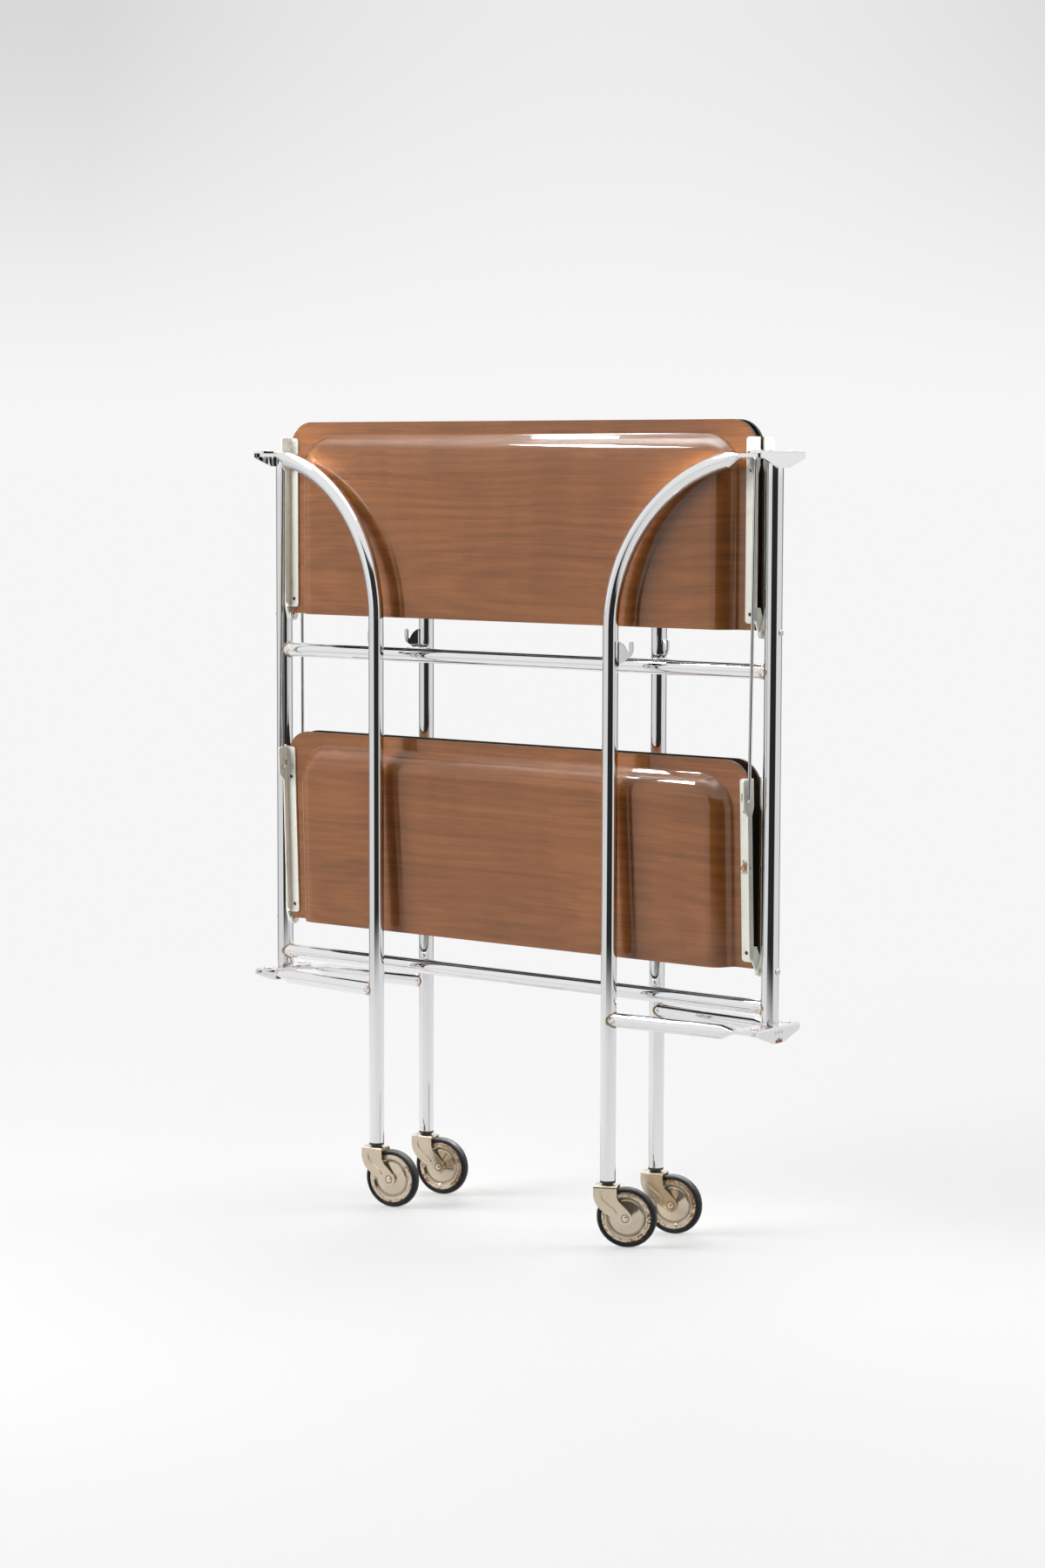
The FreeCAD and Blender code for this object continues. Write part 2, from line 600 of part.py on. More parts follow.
def link_rod(end_name):
    # Straight wire between the ears of the two levels; each end goes in through its hole and turns up.
    upper = hook_hole("upper_" + end_name)
    lower = hook_hole("lower_" + end_name)
    along = (upper - lower).normalize()
    corners = [
        upper + V(ROD_HOOK_X, 0, 0) + along * (ROD_TIP + ROD_BEND),
        upper + V(ROD_HOOK_X, 0, 0),
        upper + V(ROD_X, 0, 0),
        lower + V(ROD_X, 0, 0),
        lower + V(ROD_HOOK_X, 0, 0),
        lower + V(ROD_HOOK_X, 0, 0) + along * (ROD_TIP + ROD_BEND),
    ]
    edges = []
    here = corners[0]
    for before, corner, after in zip(corners, corners[1:], corners[2:]):
        arrive = (corner - before).normalize()
        leave = (after - corner).normalize()
        start = corner - arrive * ROD_BEND
        finish = corner + leave * ROD_BEND
        centre = corner + (leave - arrive) * ROD_BEND
        middle = centre + (corner - centre).normalize() * ROD_BEND
        edges.append(Part.LineSegment(here, start).toShape())
        edges.append(Part.Arc(start, middle, finish).toShape())
        here = finish
    edges.append(Part.LineSegment(here, corners[-1]).toShape())
    path = Part.Wire(edges)
    section = Part.Wire(Part.makeCircle(ROD_RADIUS, corners[0], corners[1] - corners[0]))
    return path.makePipeShell([section], True, True)


# Casters, drawn about the swivel axis with the wheel trailing along +X

def collar():
    seat = LEG_FOOT_Z
    neck_z = FORK_TOP_Z + FACE_CLEARANCE
    spigot = cylinder(LEG_RADIUS - TUBE_WALL, V(0, 0, seat), V(0, 0, STEM_TOP_Z + 2))
    ring = cylinder(LEG_RADIUS, V(0, 0, seat - COLLAR_HEIGHT), V(0, 0, seat))
    neck_height = seat - COLLAR_HEIGHT - neck_z
    neck = Part.makeCone(COLLAR_NECK_RADIUS, LEG_RADIUS - TUBE_WALL, neck_height, V(0, 0, neck_z))
    bore = cylinder(STEM_RADIUS + RUN_CLEARANCE, V(0, 0, neck_z), V(0, 0, STEM_TOP_Z + FACE_CLEARANCE))
    return joined([spigot, ring, neck]).cut(bore)


def fork():
    top = FORK_TOP_Z
    wide = FORK_HALF_WIDTH
    thin = wide - FORK_SHEET
    foot = WHEEL_RADIUS - FORK_BOSS
    turn = FORK_BEND * (1 - math.sqrt(0.5))
    inner_bend = FORK_BEND - FORK_SHEET
    inner_turn = inner_bend * (1 - math.sqrt(0.5))
    inner_top = top - FORK_SHEET
    x = -FORK_BACK
    channel = outline([
        V(x, -wide, foot),
        V(x, -wide, top - FORK_BEND),
        (V(x, turn - wide, top - turn), V(x, FORK_BEND - wide, top)),
        V(x, wide - FORK_BEND, top),
        (V(x, wide - turn, top - turn), V(x, wide, top - FORK_BEND)),
        V(x, wide, foot),
        V(x, thin, foot),
        V(x, thin, inner_top - inner_bend),
        (V(x, thin - inner_turn, inner_top - inner_turn), V(x, thin - inner_bend, inner_top)),
        V(x, inner_bend - thin, inner_top),
        (V(x, inner_turn - thin, inner_top - inner_turn), V(x, -thin, inner_top - inner_bend)),
        V(x, -thin, foot),
    ]).extrude(V(FORK_BACK + CASTER_TRAIL + FORK_BOSS, 0, 0))
    shape = joined([
        channel.common(fork_cheek()),
        cylinder(STEM_RADIUS, V(0, 0, inner_top), V(0, 0, STEM_TOP_Z)),
        fork_rib(-wide),
        fork_rib(wide),
    ])
    axle = V(CASTER_TRAIL, 0, WHEEL_RADIUS)
    reach = V(0, 2 * wide, 0)
    return shape.cut(cylinder(AXLE_RADIUS + RUN_CLEARANCE, axle - reach, axle + reach))


def fork_cheek():
    # Side view of the fork: straight at the top, swept back to a round boss at the axle.
    y = -FORK_HALF_WIDTH
    axle = V(CASTER_TRAIL, y, WHEEL_RADIUS)

    def boss(angle):
        turn = math.radians(angle)
        return axle + V(math.cos(turn), 0, math.sin(turn)) * FORK_BOSS

    drop = FORK_TOP_Z - WHEEL_RADIUS
    shoulder = FORK_TOP_Z - 0.3 * drop
    face = outline([
        V(-FORK_BACK, y, FORK_TOP_Z),
        V(-FORK_BACK, y, shoulder),
        (V(-0.76 * FORK_BACK, y, FORK_TOP_Z - 0.59 * drop), V(-0.2 * FORK_BACK, y, FORK_TOP_Z - 0.82 * drop)),
        boss(238),
        (boss(318), boss(38)),
        V(FORK_FRONT + FORK_THROAT, y, shoulder - 0.2 * drop),
        (V(FORK_FRONT + FORK_THROAT / 4, y, shoulder - 0.1 * drop), V(FORK_FRONT, y, shoulder)),
        V(FORK_FRONT, y, FORK_TOP_Z),
    ])
    return face.extrude(V(0, 2 * FORK_HALF_WIDTH, 0))


def fork_rib(y):
    # S-shaped bead, half sunk in the outer face of a cheek, from under the fold towards the axle.
    drop = FORK_TOP_Z - WHEEL_RADIUS
    path = Part.BSplineCurve()
    path.interpolate([
        V(-0.45 * FORK_BACK, y, FORK_TOP_Z - 0.2 * drop),
        V(-0.25 * FORK_BACK, y, FORK_TOP_Z - 0.44 * drop),
        V(0.28 * CASTER_TRAIL, y, FORK_TOP_Z - 0.66 * drop),
        V(0.55 * CASTER_TRAIL, y, FORK_TOP_Z - 0.86 * drop),
    ])
    start = path.value(path.FirstParameter)
    circle = Part.makeCircle(FORK_RIB_RADIUS, start, V(*path.tangent(path.FirstParameter)[0]))
    return Part.Wire(path.toShape()).makePipeShell([Part.Wire(circle)], True, False)


def axle_rivet():
    centre = V(CASTER_TRAIL, 0, WHEEL_RADIUS)
    reach = V(0, FORK_HALF_WIDTH, 0)
    return joined([
        cylinder(AXLE_RADIUS, centre - reach, centre + reach),
        rounded_head(AXLE_HEAD_RADIUS, AXLE_HEAD_HEIGHT, centre + reach, V(0, 1, 0)),
        rounded_head(AXLE_HEAD_RADIUS, AXLE_HEAD_HEIGHT, centre - reach, V(0, -1, 0)),
    ])


def turned(profile):
    # A profile of (radius, side) points, spun round the axle.
    face = outline([V(CASTER_TRAIL, side, WHEEL_RADIUS + radius) for radius, side in profile])
    return face.revolve(V(CASTER_TRAIL, 0, WHEEL_RADIUS), V(0, 1, 0), 360)


def wheel():
    # Pressed disc: hub, recessed middle, and a rounded ring that grips the tyre.
    rim = RIM_WIDTH / 2
    disc = rim - DISC_STEP
    hub = FORK_HALF_WIDTH - FORK_SHEET - FACE_CLEARANCE
    bore = AXLE_RADIUS + RUN_CLEARANCE
    ring = TYRE_INNER_RADIUS - DISC_STEP_RADIUS
    half = [
        (bore, hub),
        (HUB_RADIUS, hub),
        (HUB_RADIUS + 0.8, disc),
        (DISC_STEP_RADIUS - 1.2, disc),
        (DISC_STEP_RADIUS, rim - 0.5),
        (DISC_STEP_RADIUS + 0.2 * ring, rim),
        (DISC_STEP_RADIUS + 0.75 * ring, rim),
        (TYRE_INNER_RADIUS, rim - 0.7),
    ]
    return turned(half + [(radius, -side) for radius, side in reversed(half)])


def tyre():
    half = TYRE_WIDTH / 2
    depth = WHEEL_RADIUS - TYRE_INNER_RADIUS
    profile = [
        (TYRE_INNER_RADIUS, RIM_WIDTH / 2 - 0.7),
        (TYRE_INNER_RADIUS + 0.1 * depth, half - 0.3),
        (TYRE_INNER_RADIUS + 0.3 * depth, half),
        (TYRE_INNER_RADIUS + 0.62 * depth, half - 0.5),
        (TYRE_INNER_RADIUS + 0.86 * depth, half - 1.7),
        (WHEEL_RADIUS, TYRE_TREAD / 2),
    ]
    return turned(profile + [(radius, -side) for radius, side in reversed(profile)])


def placed_caster(shape, corner, side, end):
    shape = shape.copy()
    shape.rotate(V(0, 0, 0), V(0, 0, 1), CASTER_HEADINGS[corner])
    shape.translate(V(side * LEG_X, end * LEG_Y, 0))
    return shape


# Nodes

def save_frame():
    rivets = []
    pins = []
    for side_name, side in SIDES.items():
        save(side_name + "_post", post(side))
        for level, top in (("top", TOP_BRACKET_Z), ("bottom", BOTTOM_BRACKET_Z)):
            save(level + "_" + side_name + "_bracket", quarter(bracket(top), side, -1))
            rivets += [quarter(pivot_rivet(top), side, end) for end in ENDS.values()]
        pins += [quarter(hinge_pin(z), side, -1) for z in HINGES.values()]
    save("upper_cross_tube", cross_tube(UPPER_CROSS_Z))
    save("lower_cross_tube", cross_tube(LOWER_CROSS_Z))
    save("pivot_rivets", *rivets)
    save("hinge_pins", *pins)


def save_leaves():
    shell = tray()
    screws = [screw(side, rise) for side in SIDES.values() for rise in SCREW_RISES]
    bars = end_bars()
    for end_name, end in ENDS.items():
        for level in HINGES:
            leaf = level + "_" + end_name
            save(leaf + "_tray", placed_leaf(shell, leaf, end))
            save(leaf + "_end_bars", *[placed_leaf(bar, leaf, end) for bar in bars])
            save(leaf + "_bar_screws", *[placed_leaf(piece, leaf, end) for piece in screws])


def save_links():
    for end_name, end in ENDS.items():
        rod = link_rod(end_name)
        save(end_name + "_link_rods", *[quarter(rod, side, end) for side in SIDES.values()])


def save_legs():
    leg_pieces = {"leg": leg(), "strut": strut(), "claw": claw()}
    caster_pieces = {"collar": collar(), "fork": fork(), "axle": axle_rivet(), "wheel": wheel(), "tyre": tyre()}
    for end_name, end in ENDS.items():
        for side_name, side in SIDES.items():
            corner = end_name + "_" + side_name
            for name, piece in leg_pieces.items():
                save(corner + "_" + name, quarter(piece, side, end))
            for name, piece in caster_pieces.items():
                save(corner + "_" + name, placed_caster(piece, corner, side, end))


save_frame()
save_leaves()
save_links()
save_legs()
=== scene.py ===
import json
import math

import bmesh
import bpy
from bpy.props import FloatProperty, FloatVectorProperty, PointerProperty
from mathutils import Matrix, Vector


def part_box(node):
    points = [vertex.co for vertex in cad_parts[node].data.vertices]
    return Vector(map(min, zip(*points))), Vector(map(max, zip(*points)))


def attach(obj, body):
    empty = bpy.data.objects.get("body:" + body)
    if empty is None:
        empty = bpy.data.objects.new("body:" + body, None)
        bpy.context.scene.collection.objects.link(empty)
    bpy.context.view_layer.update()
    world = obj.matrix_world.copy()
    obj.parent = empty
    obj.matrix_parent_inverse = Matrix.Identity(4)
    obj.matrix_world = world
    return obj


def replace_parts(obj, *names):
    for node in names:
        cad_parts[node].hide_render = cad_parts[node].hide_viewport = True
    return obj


bl_info = {
    "name": "Folding Serving Cart",
    "version": (1, 0, 0),
    "blender": (4, 5, 0),
    "location": "View3D > Sidebar > Cart",
    "description": "Finishes, small fittings and studio for a folded serving cart",
    "category": "Object",
}

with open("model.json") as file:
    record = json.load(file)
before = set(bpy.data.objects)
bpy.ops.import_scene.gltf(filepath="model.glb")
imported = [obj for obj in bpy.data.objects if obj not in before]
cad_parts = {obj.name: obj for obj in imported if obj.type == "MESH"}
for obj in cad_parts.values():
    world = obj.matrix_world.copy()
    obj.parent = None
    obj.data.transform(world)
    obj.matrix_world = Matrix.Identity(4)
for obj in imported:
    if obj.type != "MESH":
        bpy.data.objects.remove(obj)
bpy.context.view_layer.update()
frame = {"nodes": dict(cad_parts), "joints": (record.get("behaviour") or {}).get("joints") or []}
NODES = frame["nodes"]

CORNERS = ("front_left", "front_right", "rear_left", "rear_right")
LEAVES = ("upper_front", "upper_rear", "lower_front", "lower_rear")
SIDES = {"left": -1, "right": 1}
ENDS = {"front": -1, "rear": 1}
X, Y, Z = 0, 1, 2
WHITE = (1.0, 1.0, 1.0, 1.0)
BLACK = (0.0, 0.0, 0.0, 1.0)

# The photograph's camera: where it stands, where it looks, and the level directions behind and beside it.
CAMERA_PLACE = Vector((1.952, -2.481, 0.711))
CAMERA_AIM = Vector((-0.61386, 0.78394, -0.09359))
CAMERA_ROLL = math.radians(0.16)
CAMERA_BACK = Vector((-CAMERA_AIM.x, -CAMERA_AIM.y, 0.0)).normalized()
CAMERA_SIDE = Vector((CAMERA_AIM.y, -CAMERA_AIM.x, 0.0)).normalized()
SENSOR_HEIGHT = 36.0

# The room, in degrees from straight behind the camera: where its unlit part fades in and out, and where the two grey
# screens beside the backdrop do.
UNLIT_LEFT = (-38.0, -32.0)
UNLIT_RIGHT = (42.0, 36.0)
SCREEN_START = (116.0, 122.0)
SCREEN_END = (154.0, 148.0)
SCREEN_SHADE = 0.72

# Grain of the edge of a patch of rust, per metre, and how ragged it makes it.
PATCH_GRIT = 260.0
PATCH_RAGGED = 2.2

# Distances from a wheel's centre, in metres, where its finish changes: the rusted flange, the groove painted dark for
# its reflection, and the darker rim's edge.
FLANGE_START = (0.0192, 0.0208)
GROOVE = 0.0174
GROOVE_FADE = (0.0021, 0.0006)
RIM_EDGE = (0.0230, 0.0238)

# The walnut print: how far the grain wanders, in metres, and the long arches of its figure.
GRAIN_WANDER = 0.045
ARCH_FLATNESS = 0.15
ARCH_RINGS = 620.0
ARCH_WAVER = 11.0
ARCH_DEPTH = 0.026
FACING = 0.2                # share of the surface normal that tells the two sides of the sheet from its cut edge

# New pieces
BEAD_SIDES = 10
BEAD_STEPS = 56
BEAD_SADDLE = 0.97          # share of the upright's radius past which a bead follows it no further
BEAD_MERGE = 0.00001
CURVE_POINTS = 4            # on each rounded corner of an outline
CURVE_LIMIT = 0.49          # most of an edge that one rounded corner takes up
TURN_STEPS = 80
TURN_MERGE = 0.000005


def joint_line(name):
    # Where a joint of the frame sits, in metres, and the direction of its axis.
    for joint in frame["joints"]:
        if joint["name"] == name:
            return Vector(joint["pos_m"]), Vector(joint["axis"]).normalized()
    raise RuntimeError("no joint named " + name)


def joint_place(name):
    return joint_line(name)[0]


def half_way(low, high, axis):
    # Middle of a box along an axis.
    return (low[axis] + high[axis]) / 2


def half_width(low, high, axis):
    return (high[axis] - low[axis]) / 2


# Settings

def colour(name, about, value):
    return FloatVectorProperty(name=name, description=about, default=value, size=3, min=0.0, max=1.0, subtype="COLOR")


def share(name, about, value):
    return FloatProperty(name=name, description=about, default=value, min=0.0, max=1.0, subtype="FACTOR")


def power(name, about, value):
    return FloatProperty(name=name, description=about, default=value, min=0.0, unit="POWER")


class CART_PG_metal(bpy.types.PropertyGroup):
    chrome: colour("Chrome", "Plating on posts, legs, struts and brackets", (0.88, 0.88, 0.89))
    chrome_roughness: share("Chrome roughness", "Clean plating", 0.03)
    rust: colour("Rust", "Rust at joints, feet and pits", (0.26, 0.115, 0.045))
    wire: colour("Wire", "Link rods", (0.72, 0.72, 0.71))
    rivet: colour("Rivets", "Leg pivots and hinge pins", (0.66, 0.64, 0.61))
    braze: colour("Braze", "Beads round the tube joints", (0.32, 0.22, 0.12))
    nickel: colour("Nickel", "Caster forks and wheels", (0.70, 0.60, 0.47))


class CART_PG_laminate(bpy.types.PropertyGroup):
    light: colour("Light grain", "Pale streaks of the walnut print", (0.330, 0.118, 0.032))
    middle: colour("Middle grain", "Most of the walnut print", (0.252, 0.088, 0.022))
    dark: colour("Dark grain", "Dark streaks of the walnut print", (0.188, 0.064, 0.016))
    # The hollow side's dark backing, made darker still: painted shade for the gap between the folded trays.
    hollow: colour("Hollow side", "Backing on the side that carries the dishes", (0.028, 0.018, 0.010))
    core: colour("Core", "Cut edge of the pressed sheet", (0.035, 0.016, 0.010))
    roughness: share("Roughness", "Print under the lacquer", 0.30)
    lacquer: share("Lacquer roughness", "Lacquer over the print", 0.02)


class CART_PG_paint(bpy.types.PropertyGroup):
    ivory: colour("Ivory", "Enamel on the tray end bars", (0.85, 0.85, 0.77))
    stain: colour("Stain", "Yellowed enamel", (0.68, 0.64, 0.51))
    chip: colour("Chip", "Bare steel under chipped enamel", (0.16, 0.11, 0.07))


class CART_PG_black(bpy.types.PropertyGroup):
    rubber: colour("Rubber", "Tyres", (0.011, 0.012, 0.014))
    plastic: colour("Plastic", "Collars in the leg ends", (0.010, 0.010, 0.010))
    screw: colour("Screws", "Blackened screws in the end bars", (0.022, 0.018, 0.013))


class CART_PG_stage(bpy.types.PropertyGroup):
    floor: colour("Floor", "Seamless paper", (0.90, 0.90, 0.90))
    room: share("Room", "Level of the white room", 0.90)
    shade: share("Shade", "Level of the unlit room behind the camera", 0.03)
    lens: FloatProperty(name="Lens", description="Focal length on a 36 mm high frame", default=77.5,
                        min=10.0, max=300.0)
    key: power("Key light", "Power of the overhead softbox", 26.0)
    sheen: power("Sheen", "Power of the softbox's reflection", 1800.0)
    fill: power("Fill", "Power of the soft light from the front left", 120.0)
    side: power("Side", "Power of the soft light from the right", 14.0)
    back: power("Back", "Power of each soft light behind", 48.0)


def settings(name):
    return getattr(bpy.context.scene, "cart_" + name)


# Node building

def rgba(value):
    return (value[0], value[1], value[2], 1.0)


def toned(value, factor):
    # A colour made darker or paler.
    return rgba([min(1.0, c * factor) for c in value])


def dusted(value, more):
    # A colour with grey added.
    return rgba([c + more for c in value])


class Tree:
    # A thin hand over a node tree: adds nodes and links them by socket name.
    def __init__(self, tree):
        self.nodes = tree.nodes
        self.links = tree.links

    def add(self, kind, **values):
        node = self.nodes.new(kind)
        for key, value in values.items():
            setattr(node, key, value)
        return node

    def feed(self, value, socket):
        if isinstance(value, bpy.types.NodeSocket):
            self.links.new(value, socket)
        else:
            socket.default_value = value

    def give(self, sockets, values):
        # Several values, each to the socket of its name or number.
        for label, value in values.items():
            self.feed(value, sockets[label])

    def math(self, operation, a, b=0.0):
        node = self.add("ShaderNodeMath", operation=operation)
        self.give(node.inputs, {0: a, 1: b})
        return node.outputs[0]

    def times(self, a, b):
        return self.math("MULTIPLY", a, b)

    def plus(self, value, more, weight):
        # A value with a weighted other one added.
        return self.math("ADD", value, self.times(more, weight))

    def blend(self, *parts):
        # The sum of the given (value, weight).
        total = self.times(*parts[0])
        for value, weight in parts[1:]:
            total = self.plus(total, value, weight)
        return total

    def off(self, value, middle):
        # How far a value is from a middle one.
        return self.math("ABSOLUTE", self.math("SUBTRACT", value, middle))

    def ramp(self, value, low, high, out_low=0.0, out_high=1.0):
        node = self.add("ShaderNodeMapRange", interpolation_type="SMOOTHSTEP")
        self.give(node.inputs, {"Value": value, "From Min": low, "From Max": high,
                                "To Min": out_low, "To Max": out_high})
        return node.outputs["Result"]

    def mix(self, factor, a, b):
        # The node has sockets for each type of data; these numbers are the ones for colours.
        node = self.add("ShaderNodeMix", data_type="RGBA")
        self.give(node.inputs, {"Factor": factor, 6: a, 7: b})
        return node.outputs[2]

    def vector(self, operation, a, b=(0.0, 0.0, 0.0)):
        node = self.add("ShaderNodeVectorMath", operation=operation)
        self.give(node.inputs, {0: a, 1: b})
        return node.outputs

    def measure(self, operation, a, b=(0.0, 0.0, 0.0)):
        # A number got from vectors: a length, a distance or a share along a direction.
        return self.vector(operation, a, b)["Value"]

    def axes(self, place):
        node = self.add("ShaderNodeSeparateXYZ")
        self.feed(place, node.inputs[0])
        return node.outputs

    def noise(self, place, scale, detail, roughness):
        node = self.add("ShaderNodeTexNoise")
        self.give(node.inputs, {"Vector": place, "Scale": scale, "Detail": detail, "Roughness": roughness})
        return node.outputs["Fac"]

    def stretch(self, place, scale, shift=(0, 0, 0)):
        node = self.add("ShaderNodeMapping")
        self.give(node.inputs, {"Vector": place, "Scale": scale, "Location": shift})
        return node.outputs["Vector"]

    def group(self, tree, **values):
        node = self.add("ShaderNodeGroup", node_tree=tree)
        self.give(node.inputs, values)
        return node.outputs


def cleared(owner):
    # The emptied node tree of a material or a world.
    owner.use_nodes = True
    owner.node_tree.nodes.clear()
    return Tree(owner.node_tree)


def new_group(name, inputs, outputs):
    tree = bpy.data.node_groups.new(name, "ShaderNodeTree")
    for in_out, sockets in (("INPUT", inputs), ("OUTPUT", outputs)):
        for label, kind in sockets.items():
            tree.interface.new_socket(label, in_out=in_out, socket_type="NodeSocket" + kind)
    hand = Tree(tree)
    return tree, hand, hand.add("NodeGroupInput").outputs, hand.add("NodeGroupOutput").inputs


def speckle_group():
    # Small irregular spots, gathered in patches: pits, rust and chips.
    tree, hand, given, out = new_group(
        "Cart speckle",
        {"Place": "Vector", "Spots": "Float", "Patches": "Float", "Cover": "Float"},
        {"Mask": "Float"})
    spots = hand.noise(given["Place"], given["Spots"], 4.0, 0.6)
    patches = hand.noise(given["Place"], given["Patches"], 2.0, 0.5)
    both = hand.blend((spots, 0.6), (patches, 0.4))
    edge = hand.plus(0.72, given["Cover"], -0.4)
    hand.feed(hand.ramp(both, edge, hand.math("ADD", edge, 0.05)), out["Mask"])
    return tree


def patch_group():
    # One round a point, broken up by noise and fading to nothing over a reach.
    tree, hand, given, out = new_group(
        "Cart patch",
        {"Place": "Vector", "Centre": "Vector", "Reach": "Float"},
        {"Mask": "Float"})
    away = hand.measure("DISTANCE", given["Place"], given["Centre"])
    near = hand.math("DIVIDE", away, given["Reach"])
    grit = hand.noise(given["Place"], PATCH_GRIT, 4.0, 0.65)
    ragged = hand.plus(near, hand.math("SUBTRACT", grit, 0.5), PATCH_RAGGED)
    hand.feed(hand.ramp(ragged, 0.95, 0.45), out["Mask"])
    return tree


def shade_group():
    # One in the unlit part of the room, which lies behind the camera, less at the grey screens, and nothing elsewhere.
    tree, hand, given, out = new_group("Cart shade", {"Direction": "Vector"}, {"Mask": "Float"})

    def fade(turn, span):
        return hand.ramp(turn, math.radians(span[0]), math.radians(span[1]))

    turn = hand.math("ARCTAN2", hand.measure("DOT_PRODUCT", given["Direction"], CAMERA_SIDE),
                     hand.measure("DOT_PRODUCT", given["Direction"], CAMERA_BACK))
    unlit = hand.times(fade(turn, UNLIT_LEFT), fade(turn, UNLIT_RIGHT))
    # The screens draw the edges of the plated tubes.
    wide = hand.math("ABSOLUTE", turn)
    screens = hand.times(fade(wide, SCREEN_START), fade(wide, SCREEN_END))
    hand.feed(hand.math("MAXIMUM", unlit, hand.times(screens, SCREEN_SHADE)), out["Mask"])
    return tree


def handling_group():
    # Uneven dulling from handling and wiping, for roughness.
    tree, hand, given, out = new_group(
        "Cart handling",
        {"Place": "Vector", "Size": "Float", "Clean": "Float", "Dull": "Float"},
        {"Roughness": "Float", "Height": "Float"})
    broad = hand.noise(given["Place"], given["Size"], 5.0, 0.6)
    fine = hand.noise(given["Place"], hand.times(given["Size"], 26.0), 3.0, 0.6)
    height = hand.blend((broad, 0.75), (fine, 0.25))
    hand.feed(hand.ramp(height, 0.42, 0.75, given["Clean"], given["Dull"]), out["Roughness"])
    hand.feed(height, out["Height"])
    return tree


GROUPS = {}


def effect(name):
    # A shared node group, built when it is first asked for.
    builders = {"speckle": speckle_group, "patch": patch_group, "handling": handling_group, "shade": shade_group}
    if name not in GROUPS:
        GROUPS[name] = builders[name]()
    return GROUPS[name]


def new_finish(name):
    # A material with only its surface shader and object coordinates.
    material = bpy.data.materials.new(name)
    hand = cleared(material)
    shader = hand.add("ShaderNodeBsdfPrincipled")
    output = hand.add("ShaderNodeOutputMaterial")
    hand.feed(shader.outputs["BSDF"], output.inputs["Surface"])
    place = hand.add("ShaderNodeTexCoord").outputs["Object"]
    return material, hand, shader.inputs, place


def speckles(hand, place, spots, patches, cover):
    return hand.group(effect("speckle"), Place=place, Spots=spots, Patches=patches, Cover=cover)["Mask"]


def patch(hand, place, centre, reach):
    return hand.group(effect("patch"), Place=place, Centre=centre, Reach=reach)["Mask"]


def handling(hand, place, size, clean, dull):
    return hand.group(effect("handling"), Place=place, Size=size, Clean=clean, Dull=dull)


def add_bump(hand, surface, height, strength, distance):
    bump = hand.add("ShaderNodeBump")
    hand.give(bump.inputs, {"Strength": strength, "Distance": distance, "Height": height})
    hand.feed(bump.outputs["Normal"], surface["Normal"])


# Finishes

def rusted(hand, surface, tint, rust, metallic, roughness):
    # Plating of a tint, with rust where the mask is.
    hand.give(surface, {"Base Color": hand.mix(rust, tint, rgba(settings("metal").rust)),
                        "Metallic": metallic, "Roughness": roughness})


def chrome_finish(name, patches, pit_cover):
    # Plating with a few pits, and rust round the given points: (centre, reach). The places of all four corners are
    # laid onto one, so that one patch marks every corner.
    metal = settings("metal")
    material, hand, surface, place = new_finish(name)
    corner = hand.vector("ABSOLUTE", place)["Vector"]
    rust = speckles(hand, place, 420.0, 36.0, pit_cover)
    for centre, reach in patches:
        rust = hand.math("MAXIMUM", rust, patch(hand, corner, centre, reach))
    worn = handling(hand, place, 16.0, metal.chrome_roughness, metal.chrome_roughness + 0.02)
    tint = hand.mix(worn["Height"], toned(metal.chrome, 0.95), rgba(metal.chrome))
    rusted(hand, surface, tint, rust, hand.plus(1.0, rust, -0.85), hand.plus(worn["Roughness"], rust, 0.6))
    add_bump(hand, surface, hand.math("ADD", hand.times(worn["Height"], 0.1), rust), 0.25, 0.0002)
    return material


def worn_metal_finish(name, tint, rust_cover, clean, dull, rivet=None):
    # Dull plating with rust specks, and a dark ring round a rivet given as (centre, inner and outer distance).
    material, hand, surface, place = new_finish(name)
    rust = speckles(hand, place, 520.0, 70.0, rust_cover)
    worn = handling(hand, place, 60.0, clean, dull)
    shade = hand.mix(worn["Height"], toned(tint, 0.78), toned(tint, 1.12))
    if rivet:
        centre, inner, outer = rivet
        half = (outer - inner) / 2
        off = hand.off(hand.measure("DISTANCE", place, centre), (inner + outer) / 2)
        shade = hand.mix(hand.ramp(off, half, 0.4 * half, 0.0, 0.8), shade, toned(tint, 0.2))
    rusted(hand, surface, shade, rust, hand.plus(1.0, rust, -0.8), hand.plus(worn["Roughness"], rust, 0.4))
    add_bump(hand, surface, hand.math("ADD", worn["Height"], rust), 0.3, 0.0003)
    return material


def wheel_finish(name, centre):
    # Nickel with a painted dark reflection in its groove, darker at the rim's edge by the tyre, and rusted round the
    # flange that grips the tyre.
    nickel = settings("metal").nickel
    material, hand, surface, place = new_finish(name)
    radius = hand.measure("DISTANCE", place, centre)
    flange = hand.ramp(radius, *FLANGE_START)
    rust = hand.times(speckles(hand, place, 430.0, 60.0, 0.50), flange)
    # Painted reflection: the groove is darkened for the dark brown reflection it shows, and the rim's edge by the tyre
    # is darkened too.
    groove = hand.ramp(hand.off(radius, GROOVE), *GROOVE_FADE)
    dark_ring = hand.times(hand.math("MAXIMUM", groove, hand.ramp(radius, *RIM_EDGE)), 0.55)
    worn = handling(hand, place, 70.0, 0.06, 0.17)
    tint = hand.mix(worn["Height"], toned(nickel, 0.84), toned(nickel, 1.1))
    tint = hand.mix(dark_ring, tint, toned(nickel, 0.25))
    dull = hand.blend((rust, 0.4), (flange, 0.08))
    rusted(hand, surface, tint, rust, hand.plus(0.8, rust, -0.6), hand.math("ADD", worn["Roughness"], dull))
    add_bump(hand, surface, hand.math("ADD", hand.times(worn["Height"], 0.5), rust), 0.25, 0.0003)
    return material


